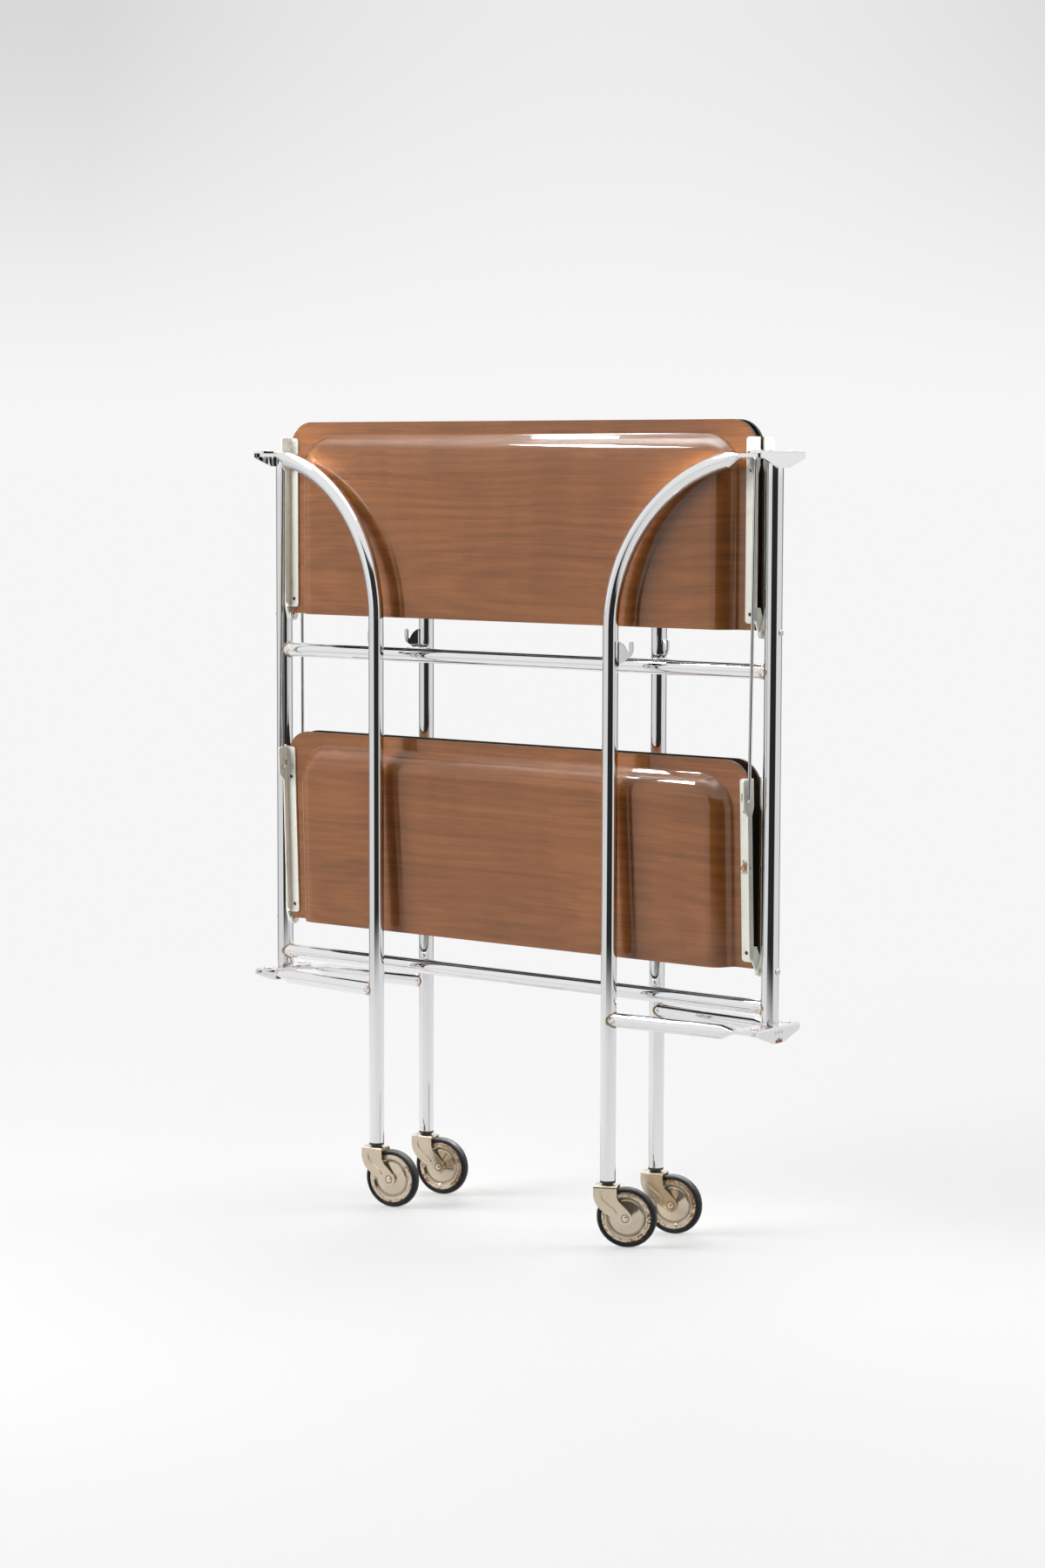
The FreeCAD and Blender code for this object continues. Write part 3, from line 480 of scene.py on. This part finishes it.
def laminate_finish(name, shift, outward, heart):
    # Walnut print with the grain along the tray under lacquer, the dark backing of the hollow side, made darker to
    # paint the shade in the gap between the folded trays, and the core at the cut edge. Outward is the way along Y
    # that the print faces, and the arches lie round the heart: (along, up).
    laminate = settings("laminate")
    material, hand, surface, place = new_finish(name)

    def streaks(at, scale, detail, roughness):
        return hand.noise(hand.stretch(at, scale, shift), 1.0, detail, roughness)

    lift = hand.add("ShaderNodeCombineXYZ")
    hand.feed(hand.times(streaks(place, (2.2, 3.0, 5.0), 2.0, 0.5), GRAIN_WANDER), lift.inputs["Z"])
    grain = hand.vector("ADD", place, lift.outputs[0])["Vector"]
    bands = streaks(grain, (1.6, 4.0, 64.0), 4.0, 0.6)
    fibres = streaks(grain, (9.0, 30.0, 480.0), 3.0, 0.6)
    pores = streaks(grain, (60.0, 90.0, 900.0), 2.0, 0.5)
    figure = streaks(place, (13.0, 2.0, 5.0), 4.0, 0.55)
    tone = hand.blend((bands, 0.38), (fibres, 0.30), (figure, 0.32))
    axes = hand.axes(grain)
    along = hand.times(hand.math("SUBTRACT", axes["X"], heart[0]), ARCH_FLATNESS)
    rise = hand.math("SUBTRACT", axes["Z"], heart[1])
    squares = hand.math("ADD", hand.times(along, along), hand.times(rise, rise))
    rings = hand.blend((hand.math("SQRT", squares), ARCH_RINGS), (figure, ARCH_WAVER))
    tone = hand.plus(tone, hand.math("SINE", rings), ARCH_DEPTH)
    low = hand.mix(hand.ramp(tone, 0.36, 0.52), rgba(laminate.dark), rgba(laminate.middle))
    print_colour = hand.mix(hand.ramp(tone, 0.48, 0.64), low, rgba(laminate.light))
    pore_mask = hand.times(hand.ramp(pores, 0.55, 0.70), 0.35)
    print_colour = hand.mix(pore_mask, print_colour, rgba(laminate.dark))

    normal = hand.add("ShaderNodeTexCoord").outputs["Normal"]
    outside = hand.measure("DOT_PRODUCT", normal, (0.0, outward, 0.0))
    hollow = hand.math("LESS_THAN", outside, -FACING)
    cut = hand.math("LESS_THAN", hand.math("ABSOLUTE", outside), FACING)
    # Painted shade: the hollow side is near black for the shade in the gap between the folded trays, over its dark
    # backing.
    under = hand.mix(figure, toned(laminate.hollow, 0.8), toned(laminate.hollow, 1.2))
    body = hand.mix(hollow, print_colour, under)
    worn = handling(hand, place, 7.0, laminate.roughness, laminate.roughness + 0.12)
    hand.give(surface, {
        "Base Color": hand.mix(cut, body, rgba(laminate.core)),
        "Roughness": hand.plus(worn["Roughness"], cut, 0.4),
        "IOR": 1.45,
        "Specular IOR Level": 0.05,
        "Coat Weight": hand.times(hand.math("SUBTRACT", 1.0, cut), hand.ramp(hollow, 0.0, 1.0, 1.0, 0.3)),
        "Coat Roughness": laminate.lacquer,
        "Coat IOR": 1.62,
    })
    add_bump(hand, surface, hand.blend((fibres, 0.35), (figure, 0.65)), 0.05, 0.0004)
    return material


def enamel_finish(name, chip_cover, patches):
    # Ivory enamel with scratches along the bar, and rust showing through at the given points: (centre, reach).
    paint = settings("paint")
    material, hand, surface, place = new_finish(name)
    chips = speckles(hand, place, 240.0, 30.0, chip_cover)
    scratches = hand.ramp(hand.noise(hand.stretch(place, (700.0, 700.0, 24.0)), 1.0, 2.0, 0.5), 0.66, 0.74)
    worn = handling(hand, place, 30.0, 0.26, 0.45)
    stain = hand.ramp(hand.noise(place, 45.0, 4.0, 0.6), 0.50, 0.78)
    body = hand.mix(hand.times(stain, 0.6), rgba(paint.ivory), rgba(paint.stain))
    body = hand.mix(hand.times(scratches, 0.5), body, rgba(paint.chip))
    body = hand.mix(chips, body, rgba(paint.chip))
    for centre, reach in patches:
        body = hand.mix(patch(hand, place, centre, reach), body, rgba(settings("metal").rust))
    hand.give(surface, {"Base Color": body, "Roughness": hand.plus(worn["Roughness"], chips, 0.25)})
    add_bump(hand, surface, hand.math("SUBTRACT", hand.times(worn["Height"], 0.3), chips), 0.35, 0.0003)
    return material


def rubber_finish(name):
    # Black rubber with dust on it.
    rubber = settings("black").rubber
    material, hand, surface, place = new_finish(name)
    dust = speckles(hand, place, 260.0, 60.0, 0.35)
    worn = handling(hand, place, 50.0, 0.36, 0.58)
    hand.give(surface, {
        "Base Color": hand.mix(hand.times(dust, 0.5), rgba(rubber), dusted(rubber, 0.05)),
        "Roughness": worn["Roughness"],
        "Specular IOR Level": 0.25,
    })
    add_bump(hand, surface, worn["Height"], 0.2, 0.0003)
    return material


def plastic_finish(name, tint):
    # A plain dark surface, a little uneven.
    material, hand, surface, place = new_finish(name)
    worn = handling(hand, place, 80.0, 0.3, 0.5)
    hand.give(surface, {"Base Color": hand.mix(worn["Height"], rgba(tint), dusted(tint, 0.02)),
                        "Roughness": worn["Roughness"]})
    add_bump(hand, surface, worn["Height"], 0.1, 0.0002)
    return material


def dress(node_name, material):
    # One finish on a frame node.
    node = NODES[node_name]
    node.data.materials.clear()
    node.data.materials.append(material)


# New pieces

def add_object(name, data):
    thing = bpy.data.objects.new(name, data)
    bpy.context.scene.collection.objects.link(thing)
    return thing


def piece_of(form, name):
    # An object made from a shape, which is used up.
    mesh = bpy.data.meshes.new(name)
    form.to_mesh(mesh)
    form.free()
    return add_object(name, mesh)


def set_in_place(form, place):
    # Moves a smooth shape to its place, with its faces outwards.
    bmesh.ops.transform(form, matrix=place, verts=form.verts)
    bmesh.ops.recalc_face_normals(form, faces=form.faces)
    for face in form.faces:
        face.smooth = True


def braze_bead(name, body, joint, along, bead_radius, tube_radius, wall_radius):
    # A bead round a tube where its end is coped onto an upright one. The joint is the point on the upright's axis
    # and along is the level direction from there into the tube.
    form = bmesh.new()
    made = bmesh.ops.create_circle(form, segments=BEAD_SIDES, radius=bead_radius,
                                   matrix=Matrix.Translation((0.0, tube_radius, 0.0)))
    bmesh.ops.spin(form, geom=made["verts"] + form.edges[:], cent=(0, 0, 0), axis=(1, 0, 0), angle=2 * math.pi,
                   steps=BEAD_STEPS, use_merge=True)
    for vertex in form.verts:
        reach = min(abs(vertex.co.y), wall_radius * BEAD_SADDLE)
        vertex.co.x += math.sqrt(wall_radius ** 2 - reach ** 2)
    bmesh.ops.remove_doubles(form, verts=form.verts, dist=BEAD_MERGE)
    heading = math.atan2(along[1], along[0])
    set_in_place(form, Matrix.Translation(joint) @ Matrix.Rotation(heading, 4, "Z"))
    bead = piece_of(form, name)
    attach(bead, body)
    return bead


def rounded(points, reach):
    # An outline with its corners drawn as small curves. It is closed unless it starts and ends on the spindle.
    corners = [Vector(point) for point in points]
    whole = corners[0].x > 0.0
    outline = []
    for number, corner in enumerate(corners):
        before, after = corners[number - 1], corners[(number + 1) % len(corners)]
        if not whole and number in (0, len(corners) - 1):
            outline.append(corner)
            continue
        start = corner.lerp(before, min(CURVE_LIMIT, reach / (before - corner).length))
        end = corner.lerp(after, min(CURVE_LIMIT, reach / (after - corner).length))
        for step in range(CURVE_POINTS):
            along = step / (CURVE_POINTS - 1)
            outline.append(start.lerp(corner, along).lerp(corner.lerp(end, along), along))
    return outline, whole


def turned_piece(name, body, spindle, half, reach):
    # A piece turned about a spindle (centre, direction), alike on both sides: half its outline as (radius, side)
    # in mm.
    points = list(half) + [(radius, -side) for radius, side in reversed(half)]
    outline, whole = rounded(points, reach)
    form = bmesh.new()
    ring = [form.verts.new((point.x / 1000, point.y / 1000, 0.0)) for point in outline]
    pairs = list(zip(ring, ring[1:])) + ([(ring[-1], ring[0])] if whole else [])
    edges = [form.edges.new(pair) for pair in pairs]
    bmesh.ops.spin(form, geom=ring + edges, cent=(0, 0, 0), axis=(0, 1, 0), angle=2 * math.pi,
                   steps=TURN_STEPS, use_merge=True)
    bmesh.ops.remove_doubles(form, verts=form.verts, dist=TURN_MERGE)
    centre, direction = spindle
    turn = Vector((0.0, 1.0, 0.0)).rotation_difference(direction).to_matrix().to_4x4()
    set_in_place(form, Matrix.Translation(centre) @ turn)
    piece = piece_of(form, name)
    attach(piece, body)
    return piece


# Operators

class CartOperator(bpy.types.Operator):
    bl_options = {"REGISTER", "UNDO"}


class CART_OT_frame(CartOperator):
    """Plate the posts, cross tubes and brackets"""
    bl_idname = "cart.frame"
    bl_label = "Frame"

    # Reach of the rust, in metres
    TUBE_RUST = 0.0078
    FOOT_RUST = 0.010
    PLATE_RUST = 0.012
    PLATE_EDGE_RUST = 0.007

    def execute(self, context):
        plate_low, plate_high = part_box("bottom_right_bracket")
        post_low, post_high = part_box("right_post")
        foot = (half_way(post_low, post_high, X), 0.0, plate_high[Z])
        joints = [((post_low[X], 0.0, half_way(*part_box(name), Z)), self.TUBE_RUST)
                  for name in ("upper_cross_tube", "lower_cross_tube")]
        tubes = chrome_finish("Chrome frame", [(foot, self.FOOT_RUST)] + joints, 0.0)
        for name in ("left_post", "right_post", "upper_cross_tube", "lower_cross_tube"):
            dress(name, tubes)
        edge = (plate_high[X], 0.0, plate_low[Z])
        brackets = chrome_finish("Chrome brackets", [(foot, self.PLATE_RUST), (edge, self.PLATE_EDGE_RUST)], 0.0)
        for side in SIDES:
            dress("top_" + side + "_bracket", brackets)
            dress("bottom_" + side + "_bracket", brackets)
        rivets = worn_metal_finish("Worn rivets", settings("metal").rivet, 0.16, 0.16, 0.34)
        dress("pivot_rivets", rivets)
        dress("hinge_pins", rivets)
        return {"FINISHED"}


class CART_OT_legs(CartOperator):
    """Plate the legs and struts, and set the claw plates as in the photo"""
    bl_idname = "cart.legs"
    bl_label = "Legs"

    # Degrees that each claw plate is turned to the trays from where the CAD has it, and its size against the CAD's
    CLAW_TURNS = {"front_left": 21.0, "front_right": 10.0, "rear_left": 21.0, "rear_right": 21.0}
    CLAW_SCALE = 0.9
    # Rust at the strut's joint to the leg, which starts this far from the leg's axis, and at its far end, in metres
    JOINT_OUT = 0.006
    LEG_RUST = 0.0085
    STRUT_RUST = 0.008
    STRUT_END_RUST = 0.009
    STRUT_PITS = 0.03

    def execute(self, context):
        swivel = joint_place("rear_right_caster_swivel")
        low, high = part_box("rear_right_strut")
        joint = (swivel.x + self.JOINT_OUT, swivel.y, half_way(low, high, Z))
        far_end = (high[X], low[Y], high[Z])
        legs = chrome_finish("Chrome legs", [(joint, self.LEG_RUST)], 0.0)
        struts = chrome_finish("Chrome struts", [(joint, self.STRUT_RUST), (far_end, self.STRUT_END_RUST)],
                               self.STRUT_PITS)
        for corner in CORNERS:
            dress(corner + "_leg", legs)
            dress(corner + "_strut", struts)
            self.turned_claw(corner).data.materials.append(legs)
        return {"FINISHED"}

    def turned_claw(self, corner):
        # The claw plate as it sits in the photo: on its leg at the same height, a little shorter and turned to the
        # trays.
        end, side = corner.split("_")
        foot = joint_place(corner + "_caster_swivel")
        turn = -ENDS[end] * SIDES[side] * math.radians(self.CLAW_TURNS[corner])
        about = Matrix.Translation((foot.x, foot.y, 0.0))
        shape = Matrix.Rotation(turn, 4, "Z") @ Matrix.Diagonal((self.CLAW_SCALE, self.CLAW_SCALE, 1.0, 1.0))
        form = bmesh.new()
        form.from_mesh(NODES[corner + "_claw"].data)
        bmesh.ops.transform(form, matrix=about @ shape @ about.inverted(), verts=form.verts)
        claw = piece_of(form, corner + "_turned_claw")
        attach(claw, corner + "_leg_set")
        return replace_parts(claw, corner + "_claw")


class CART_OT_brazing(CartOperator):
    """Lay the braze beads round the tube joints"""
    bl_idname = "cart.brazing"
    bl_label = "Brazing"

    FRAME_BEAD = 0.0010
    LEG_BEAD = 0.0008
    LEG_OVER_STRUT = 0.0005     # radius of a leg over that of its strut

    def execute(self, context):
        bronze = worn_metal_finish("Brown braze", settings("metal").braze, 0.22, 0.34, 0.55)
        post_low, post_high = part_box("right_post")
        post_radius = half_width(post_low, post_high, Y)
        post_x = half_way(post_low, post_high, X)
        for level in ("upper", "lower"):
            tube_low, tube_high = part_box(level + "_cross_tube")
            radius = half_width(tube_low, tube_high, Z)
            for side, sign in SIDES.items():
                joint = (sign * post_x, 0.0, half_way(tube_low, tube_high, Z))
                bead = braze_bead(level + "_" + side + "_braze", "frame", joint, (-sign, 0.0),
                                  self.FRAME_BEAD, radius, post_radius)
                bead.data.materials.append(bronze)
        for corner in CORNERS:
            swivel = joint_place(corner + "_caster_swivel")
            pivot = joint_place(corner + "_leg_swing")
            strut_low, strut_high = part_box(corner + "_strut")
            radius = half_width(strut_low, strut_high, Z)
            joint = (swivel.x, swivel.y, half_way(strut_low, strut_high, Z))
            bead = braze_bead(corner + "_braze", corner + "_leg_set", joint, pivot - swivel,
                              self.LEG_BEAD, radius, radius + self.LEG_OVER_STRUT)
            bead.data.materials.append(bronze)
        return {"FINISHED"}


class CART_OT_trays(CartOperator):
    """Lay the walnut print on the pressed trays"""
    bl_idname = "cart.trays"
    bl_label = "Trays"

    PRINT_STEP = (3.7, 1.3, 2.1)    # shift of the print from one tray to the next
    HEART_START = 0.09              # along the first tray, in metres
    HEART_STEP = 0.06
    HEART_RISE = 0.3                # share of the tray's height

    def execute(self, context):
        for number, leaf in enumerate(LEAVES):
            shift = tuple(step * number for step in self.PRINT_STEP)
            outward = ENDS[leaf.split("_")[1]]
            low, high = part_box(leaf + "_tray")
            heart = (self.HEART_START - self.HEART_STEP * number, low[Z] + self.HEART_RISE * (high[Z] - low[Z]))
            dress(leaf + "_tray", laminate_finish("Walnut " + leaf, shift, outward, heart))
        return {"FINISHED"}


class CART_OT_bars(CartOperator):
    """Paint the end bars and finish their screws and the link rods"""
    bl_idname = "cart.bars"
    bl_label = "End bars"

    # The large chip in the lower front bar on the right, in metres from the bars' right end, middle and foot
    CHIP_IN = 0.0075
    CHIP_FORWARD = 0.002
    CHIP_UP = 0.098
    CHIP_REACH = 0.0075

    def execute(self, context):
        low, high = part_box("lower_front_end_bars")
        chip = (high[X] - self.CHIP_IN, half_way(low, high, Y) - self.CHIP_FORWARD, low[Z] + self.CHIP_UP)
        bars = enamel_finish("Ivory enamel", 0.12, [(chip, self.CHIP_REACH)])
        screws = plastic_finish("Blackened screws", settings("black").screw)
        for leaf in LEAVES:
            dress(leaf + "_end_bars", bars)
            dress(leaf + "_bar_screws", screws)
        wire = worn_metal_finish("Drawn wire", settings("metal").wire, 0.08, 0.12, 0.24)
        for end in ENDS:
            dress(end + "_link_rods", wire)
        return {"FINISHED"}


class CART_OT_casters(CartOperator):
    """Finish the casters, with dished wheels, round tyres and domed axle rivets"""
    bl_idname = "cart.casters"
    bl_label = "Casters"

    # Half outlines, (radius, side) in mm, and how far their corners are rounded
    WHEEL = ((2.45, 6.5), (4.6, 6.5), (5.2, 4.4), (15.6, 3.0), (16.3, 2.4), (17.1, 2.4), (18.9, 4.1), (19.6, 4.3),
             (22.9, 4.1), (23.7, 3.3))
    WHEEL_CURVE = 0.5
    TYRE = ((23.75, 3.3), (23.85, 4.3), (24.6, 4.8), (26.0, 4.6), (27.3, 3.4), (28.0, 1.4))
    TYRE_CURVE = 0.6
    AXLE = ((0.0, 9.35), (1.7, 9.25), (2.7, 8.9), (3.0, 8.22), (2.4, 8.2))
    AXLE_CURVE = 0.4
    # Distances from the axle's middle between which a dark ring lies on the fork round the rivet head, in metres
    FORK_DARK_RING = (0.0087, 0.0092)

    def execute(self, context):
        nickel = settings("metal").nickel
        bright = worn_metal_finish("Axle rivets", toned(nickel, 1.1), 0.05, 0.08, 0.2)
        rubber = rubber_finish("Black rubber")
        plastic = plastic_finish("Black plastic", settings("black").plastic)
        for corner in CORNERS:
            spindle = joint_line(corner + "_wheel_spin")
            wheel = turned_piece(corner + "_dished_wheel", corner + "_wheel_set", spindle,
                                 self.WHEEL, self.WHEEL_CURVE)
            wheel.data.materials.append(wheel_finish("Nickel wheel " + corner, spindle[0]))
            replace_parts(wheel, corner + "_wheel")
            tyre = turned_piece(corner + "_round_tyre", corner + "_wheel_set", spindle,
                                self.TYRE, self.TYRE_CURVE)
            tyre.data.materials.append(rubber)
            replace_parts(tyre, corner + "_tyre")
            axle = turned_piece(corner + "_axle_rivet", corner + "_caster", spindle,
                                self.AXLE, self.AXLE_CURVE)
            axle.data.materials.append(bright)
            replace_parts(axle, corner + "_axle")
            dark_ring = (spindle[0], *self.FORK_DARK_RING)
            dress(corner + "_fork", worn_metal_finish("Worn nickel " + corner, nickel, 0.14, 0.10, 0.26, dark_ring))
            dress(corner + "_collar", plastic)
        return {"FINISHED"}


class CART_OT_stage(CartOperator):
    """Set the floor, light and camera"""
    bl_idname = "cart.stage"
    bl_label = "Studio"

    # Floor: distances from the cart in metres, over which the lit paper turns to a plain glow and the unlit part
    # sets in, the levels of the glow, and the trim that evens it out for the camera from behind the cart to before it
    FLOOR_SIZE = 400.0
    PAPER_FADE = (0.35, 1.8)
    UNLIT_FADE = (1.15, 2.1)
    PAPER_SHARE = 0.5
    GLOW = 0.43
    GLOW_FAR = 0.49
    GLOW_IN_PLATING = 0.82
    TRIM_FADE = (-0.6, 0.6)
    TRIM = (-0.09, 0.065)

    # Backdrop: its level, what it loses to the top, and to the top corners by the distance from its middle
    BACKDROP = 0.93
    BACKDROP_RISE = 0.15
    TOP_LOSS = 0.105
    BACKDROP_MIDDLE = 0.026
    CORNER_LIMIT = 0.15
    CORNER_GAIN = 44.0
    CORNER_LOSS = 0.15
    UNLIT_TOP = (0.55, 0.38)

    # Softboxes: place and size in metres, and the setting that holds the power
    OVERHEAD = ((-0.2, 0.6, 2.3), (2.0, 2.0))
    LOW_SHEEN = ((-0.89, -0.65, 1.9), (0.15, 0.5))
    LOW_SHEEN_SHARE = 0.009
    AIMED = (("Fill", (-2.1, -2.1, 1.5), "fill"), ("Side", (2.4, -1.6, 1.4), "side"),
             ("Back left", (-1.9, 2.2, 1.5), "back"), ("Back right", (1.9, 2.2, 1.5), "back"))
    AIMED_SIZE = (2.0, 2.0)
    AIM = (0.0, 0.0, 0.42)

    def execute(self, context):
        self.add_floor()
        self.add_world()
        self.add_lights()
        self.add_camera()
        context.scene.view_settings.view_transform = "Standard"
        return {"FINISHED"}

    def add_floor(self):
        form = bmesh.new()
        bmesh.ops.create_grid(form, x_segments=1, y_segments=1, size=self.FLOOR_SIZE)
        floor = piece_of(form, "Floor")
        stage = settings("stage")
        material = bpy.data.materials.new("Seamless paper")
        hand = cleared(material)
        point = hand.add("ShaderNodeNewGeometry").outputs["Position"]
        away = hand.measure("LENGTH", point)
        far = hand.ramp(away, *self.PAPER_FADE)
        rays = hand.add("ShaderNodeLightPath").outputs
        camera, glossy = rays["Is Camera Ray"], rays["Is Glossy Ray"]
        # The unlit part shows in the plating only.
        shade = hand.group(effect("shade"), Direction=point)["Mask"]
        unlit = hand.times(hand.times(shade, hand.ramp(away, *self.UNLIT_FADE)), glossy)
        lit = hand.math("SUBTRACT", 1.0, hand.times(unlit, 1.0 - stage.shade))
        paper = hand.add("ShaderNodeBsdfDiffuse")
        matt = hand.mix(far, toned(stage.floor, self.PAPER_SHARE), BLACK)
        hand.feed(hand.mix(lit, BLACK, matt), paper.inputs["Color"])
        seen = hand.math("MAXIMUM", hand.math("MAXIMUM", camera, glossy), rays["Is Transmission Ray"])
        level = hand.plus(self.GLOW, far, self.GLOW_FAR)
        level = hand.times(level, hand.ramp(glossy, 0.0, 1.0, 1.0, self.GLOW_IN_PLATING))
        toward = hand.measure("DOT_PRODUCT", point, CAMERA_BACK)
        trim = hand.times(hand.ramp(toward, *self.TRIM_FADE, *self.TRIM), hand.math("SUBTRACT", 1.0, far))
        level = hand.plus(level, trim, camera)
        glow = hand.add("ShaderNodeEmission")
        hand.give(glow.inputs, {"Color": WHITE, "Strength": hand.times(hand.times(seen, level), lit)})
        both = hand.add("ShaderNodeAddShader")
        hand.give(both.inputs, {0: paper.outputs[0], 1: glow.outputs[0]})
        output = hand.add("ShaderNodeOutputMaterial")
        hand.feed(both.outputs[0], output.inputs["Surface"])
        floor.data.materials.append(material)

    def add_world(self):
        world = bpy.data.worlds.new("Studio")
        bpy.context.scene.world = world
        hand = cleared(world)
        # The room shows in the plating; the softboxes alone light matt surfaces.
        world.cycles_visibility.diffuse = False
        stage = settings("stage")
        view = hand.add("ShaderNodeTexCoord").outputs["Generated"]
        up = hand.axes(view)["Z"]
        side = hand.measure("DOT_PRODUCT", view, CAMERA_SIDE)
        # Seen by the camera: a white backdrop that falls off to the top and the sides.
        rise = hand.ramp(up, 0.0, self.BACKDROP_RISE)
        wide = hand.math("MINIMUM", hand.off(side, self.BACKDROP_MIDDLE), self.CORNER_LIMIT)
        wide = hand.math("POWER", wide, 2.0)
        corner = hand.times(hand.times(wide, self.CORNER_GAIN), hand.times(rise, self.CORNER_LOSS))
        backdrop = hand.math("SUBTRACT", hand.plus(self.BACKDROP, rise, -self.TOP_LOSS), corner)
        # Seen in the plating and the lacquer: a white room, unlit behind the camera.
        shade = hand.times(hand.group(effect("shade"), Direction=view)["Mask"], hand.ramp(up, *self.UNLIT_TOP))
        room = hand.ramp(shade, 0.0, 1.0, stage.room, stage.shade)
        seen = hand.add("ShaderNodeLightPath").outputs["Is Camera Ray"]
        strength = hand.blend((seen, backdrop), (hand.math("SUBTRACT", 1.0, seen), room))
        background = hand.add("ShaderNodeBackground")
        hand.give(background.inputs, {"Color": WHITE, "Strength": strength})
        output = hand.add("ShaderNodeOutputWorld")
        hand.feed(background.outputs[0], output.inputs["Surface"])

    def add_lights(self):
        stage = settings("stage")
        self.softbox("Overhead", *self.OVERHEAD, stage.key)
        # Two more show only in the plating and the lacquer.
        sheen = self.softbox("Sheen", *self.OVERHEAD, stage.sheen)
        low_sheen = self.softbox("Low sheen", *self.LOW_SHEEN, self.LOW_SHEEN_SHARE * stage.sheen)
        for lamp in (sheen, low_sheen):
            lamp.visible_diffuse = False
        for name, place, setting in self.AIMED:
            lamp = self.softbox(name, place, self.AIMED_SIZE, getattr(stage, setting))
            lamp.rotation_euler = (Vector(self.AIM) - lamp.location).to_track_quat("-Z", "Y").to_euler()
            lamp.visible_glossy = False

    def softbox(self, name, place, size, watts):
        # A softbox that shines down.
        light = bpy.data.lights.new(name, "AREA")
        light.shape = "RECTANGLE"
        light.size, light.size_y = size
        light.energy = watts
        lamp = add_object(name, light)
        lamp.location = place
        return lamp

    def add_camera(self):
        camera = bpy.data.cameras.new("Photo view")
        camera.sensor_fit = "VERTICAL"
        camera.sensor_height = SENSOR_HEIGHT
        camera.lens = settings("stage").lens
        holder = add_object("Photo view", camera)
        toward = CAMERA_AIM.to_track_quat("-Z", "Y").to_matrix().to_4x4()
        roll = Matrix.Rotation(CAMERA_ROLL, 4, "Z")
        holder.matrix_world = Matrix.Translation(CAMERA_PLACE) @ toward @ roll
        bpy.context.scene.camera = holder


class CART_PT_panel(bpy.types.Panel):
    bl_idname = "CART_PT_panel"
    bl_label = "Serving cart"
    bl_space_type = "VIEW_3D"
    bl_region_type = "UI"
    bl_category = "Cart"

    def draw(self, context):
        for operator in OPERATORS:
            self.layout.operator(operator.bl_idname)


GROUPS_OF_SETTINGS = {
    "metal": CART_PG_metal,
    "laminate": CART_PG_laminate,
    "paint": CART_PG_paint,
    "black": CART_PG_black,
    "stage": CART_PG_stage,
}
OPERATORS = (CART_OT_frame, CART_OT_legs, CART_OT_brazing, CART_OT_trays, CART_OT_bars, CART_OT_casters,
             CART_OT_stage)


def register():
    for name, group in GROUPS_OF_SETTINGS.items():
        bpy.utils.register_class(group)
        setattr(bpy.types.Scene, "cart_" + name, PointerProperty(type=group))
    for operator in OPERATORS:
        bpy.utils.register_class(operator)
    bpy.utils.register_class(CART_PT_panel)


def unregister():
    bpy.utils.unregister_class(CART_PT_panel)
    for operator in reversed(OPERATORS):
        bpy.utils.unregister_class(operator)
    for name, group in GROUPS_OF_SETTINGS.items():
        delattr(bpy.types.Scene, "cart_" + name)
        bpy.utils.unregister_class(group)


def main():
    register()
    bpy.ops.cart.frame()
    bpy.ops.cart.legs()
    bpy.ops.cart.brazing()
    bpy.ops.cart.trays()
    bpy.ops.cart.bars()
    bpy.ops.cart.casters()
    bpy.ops.cart.stage()


if __name__ == "__main__":
    main()
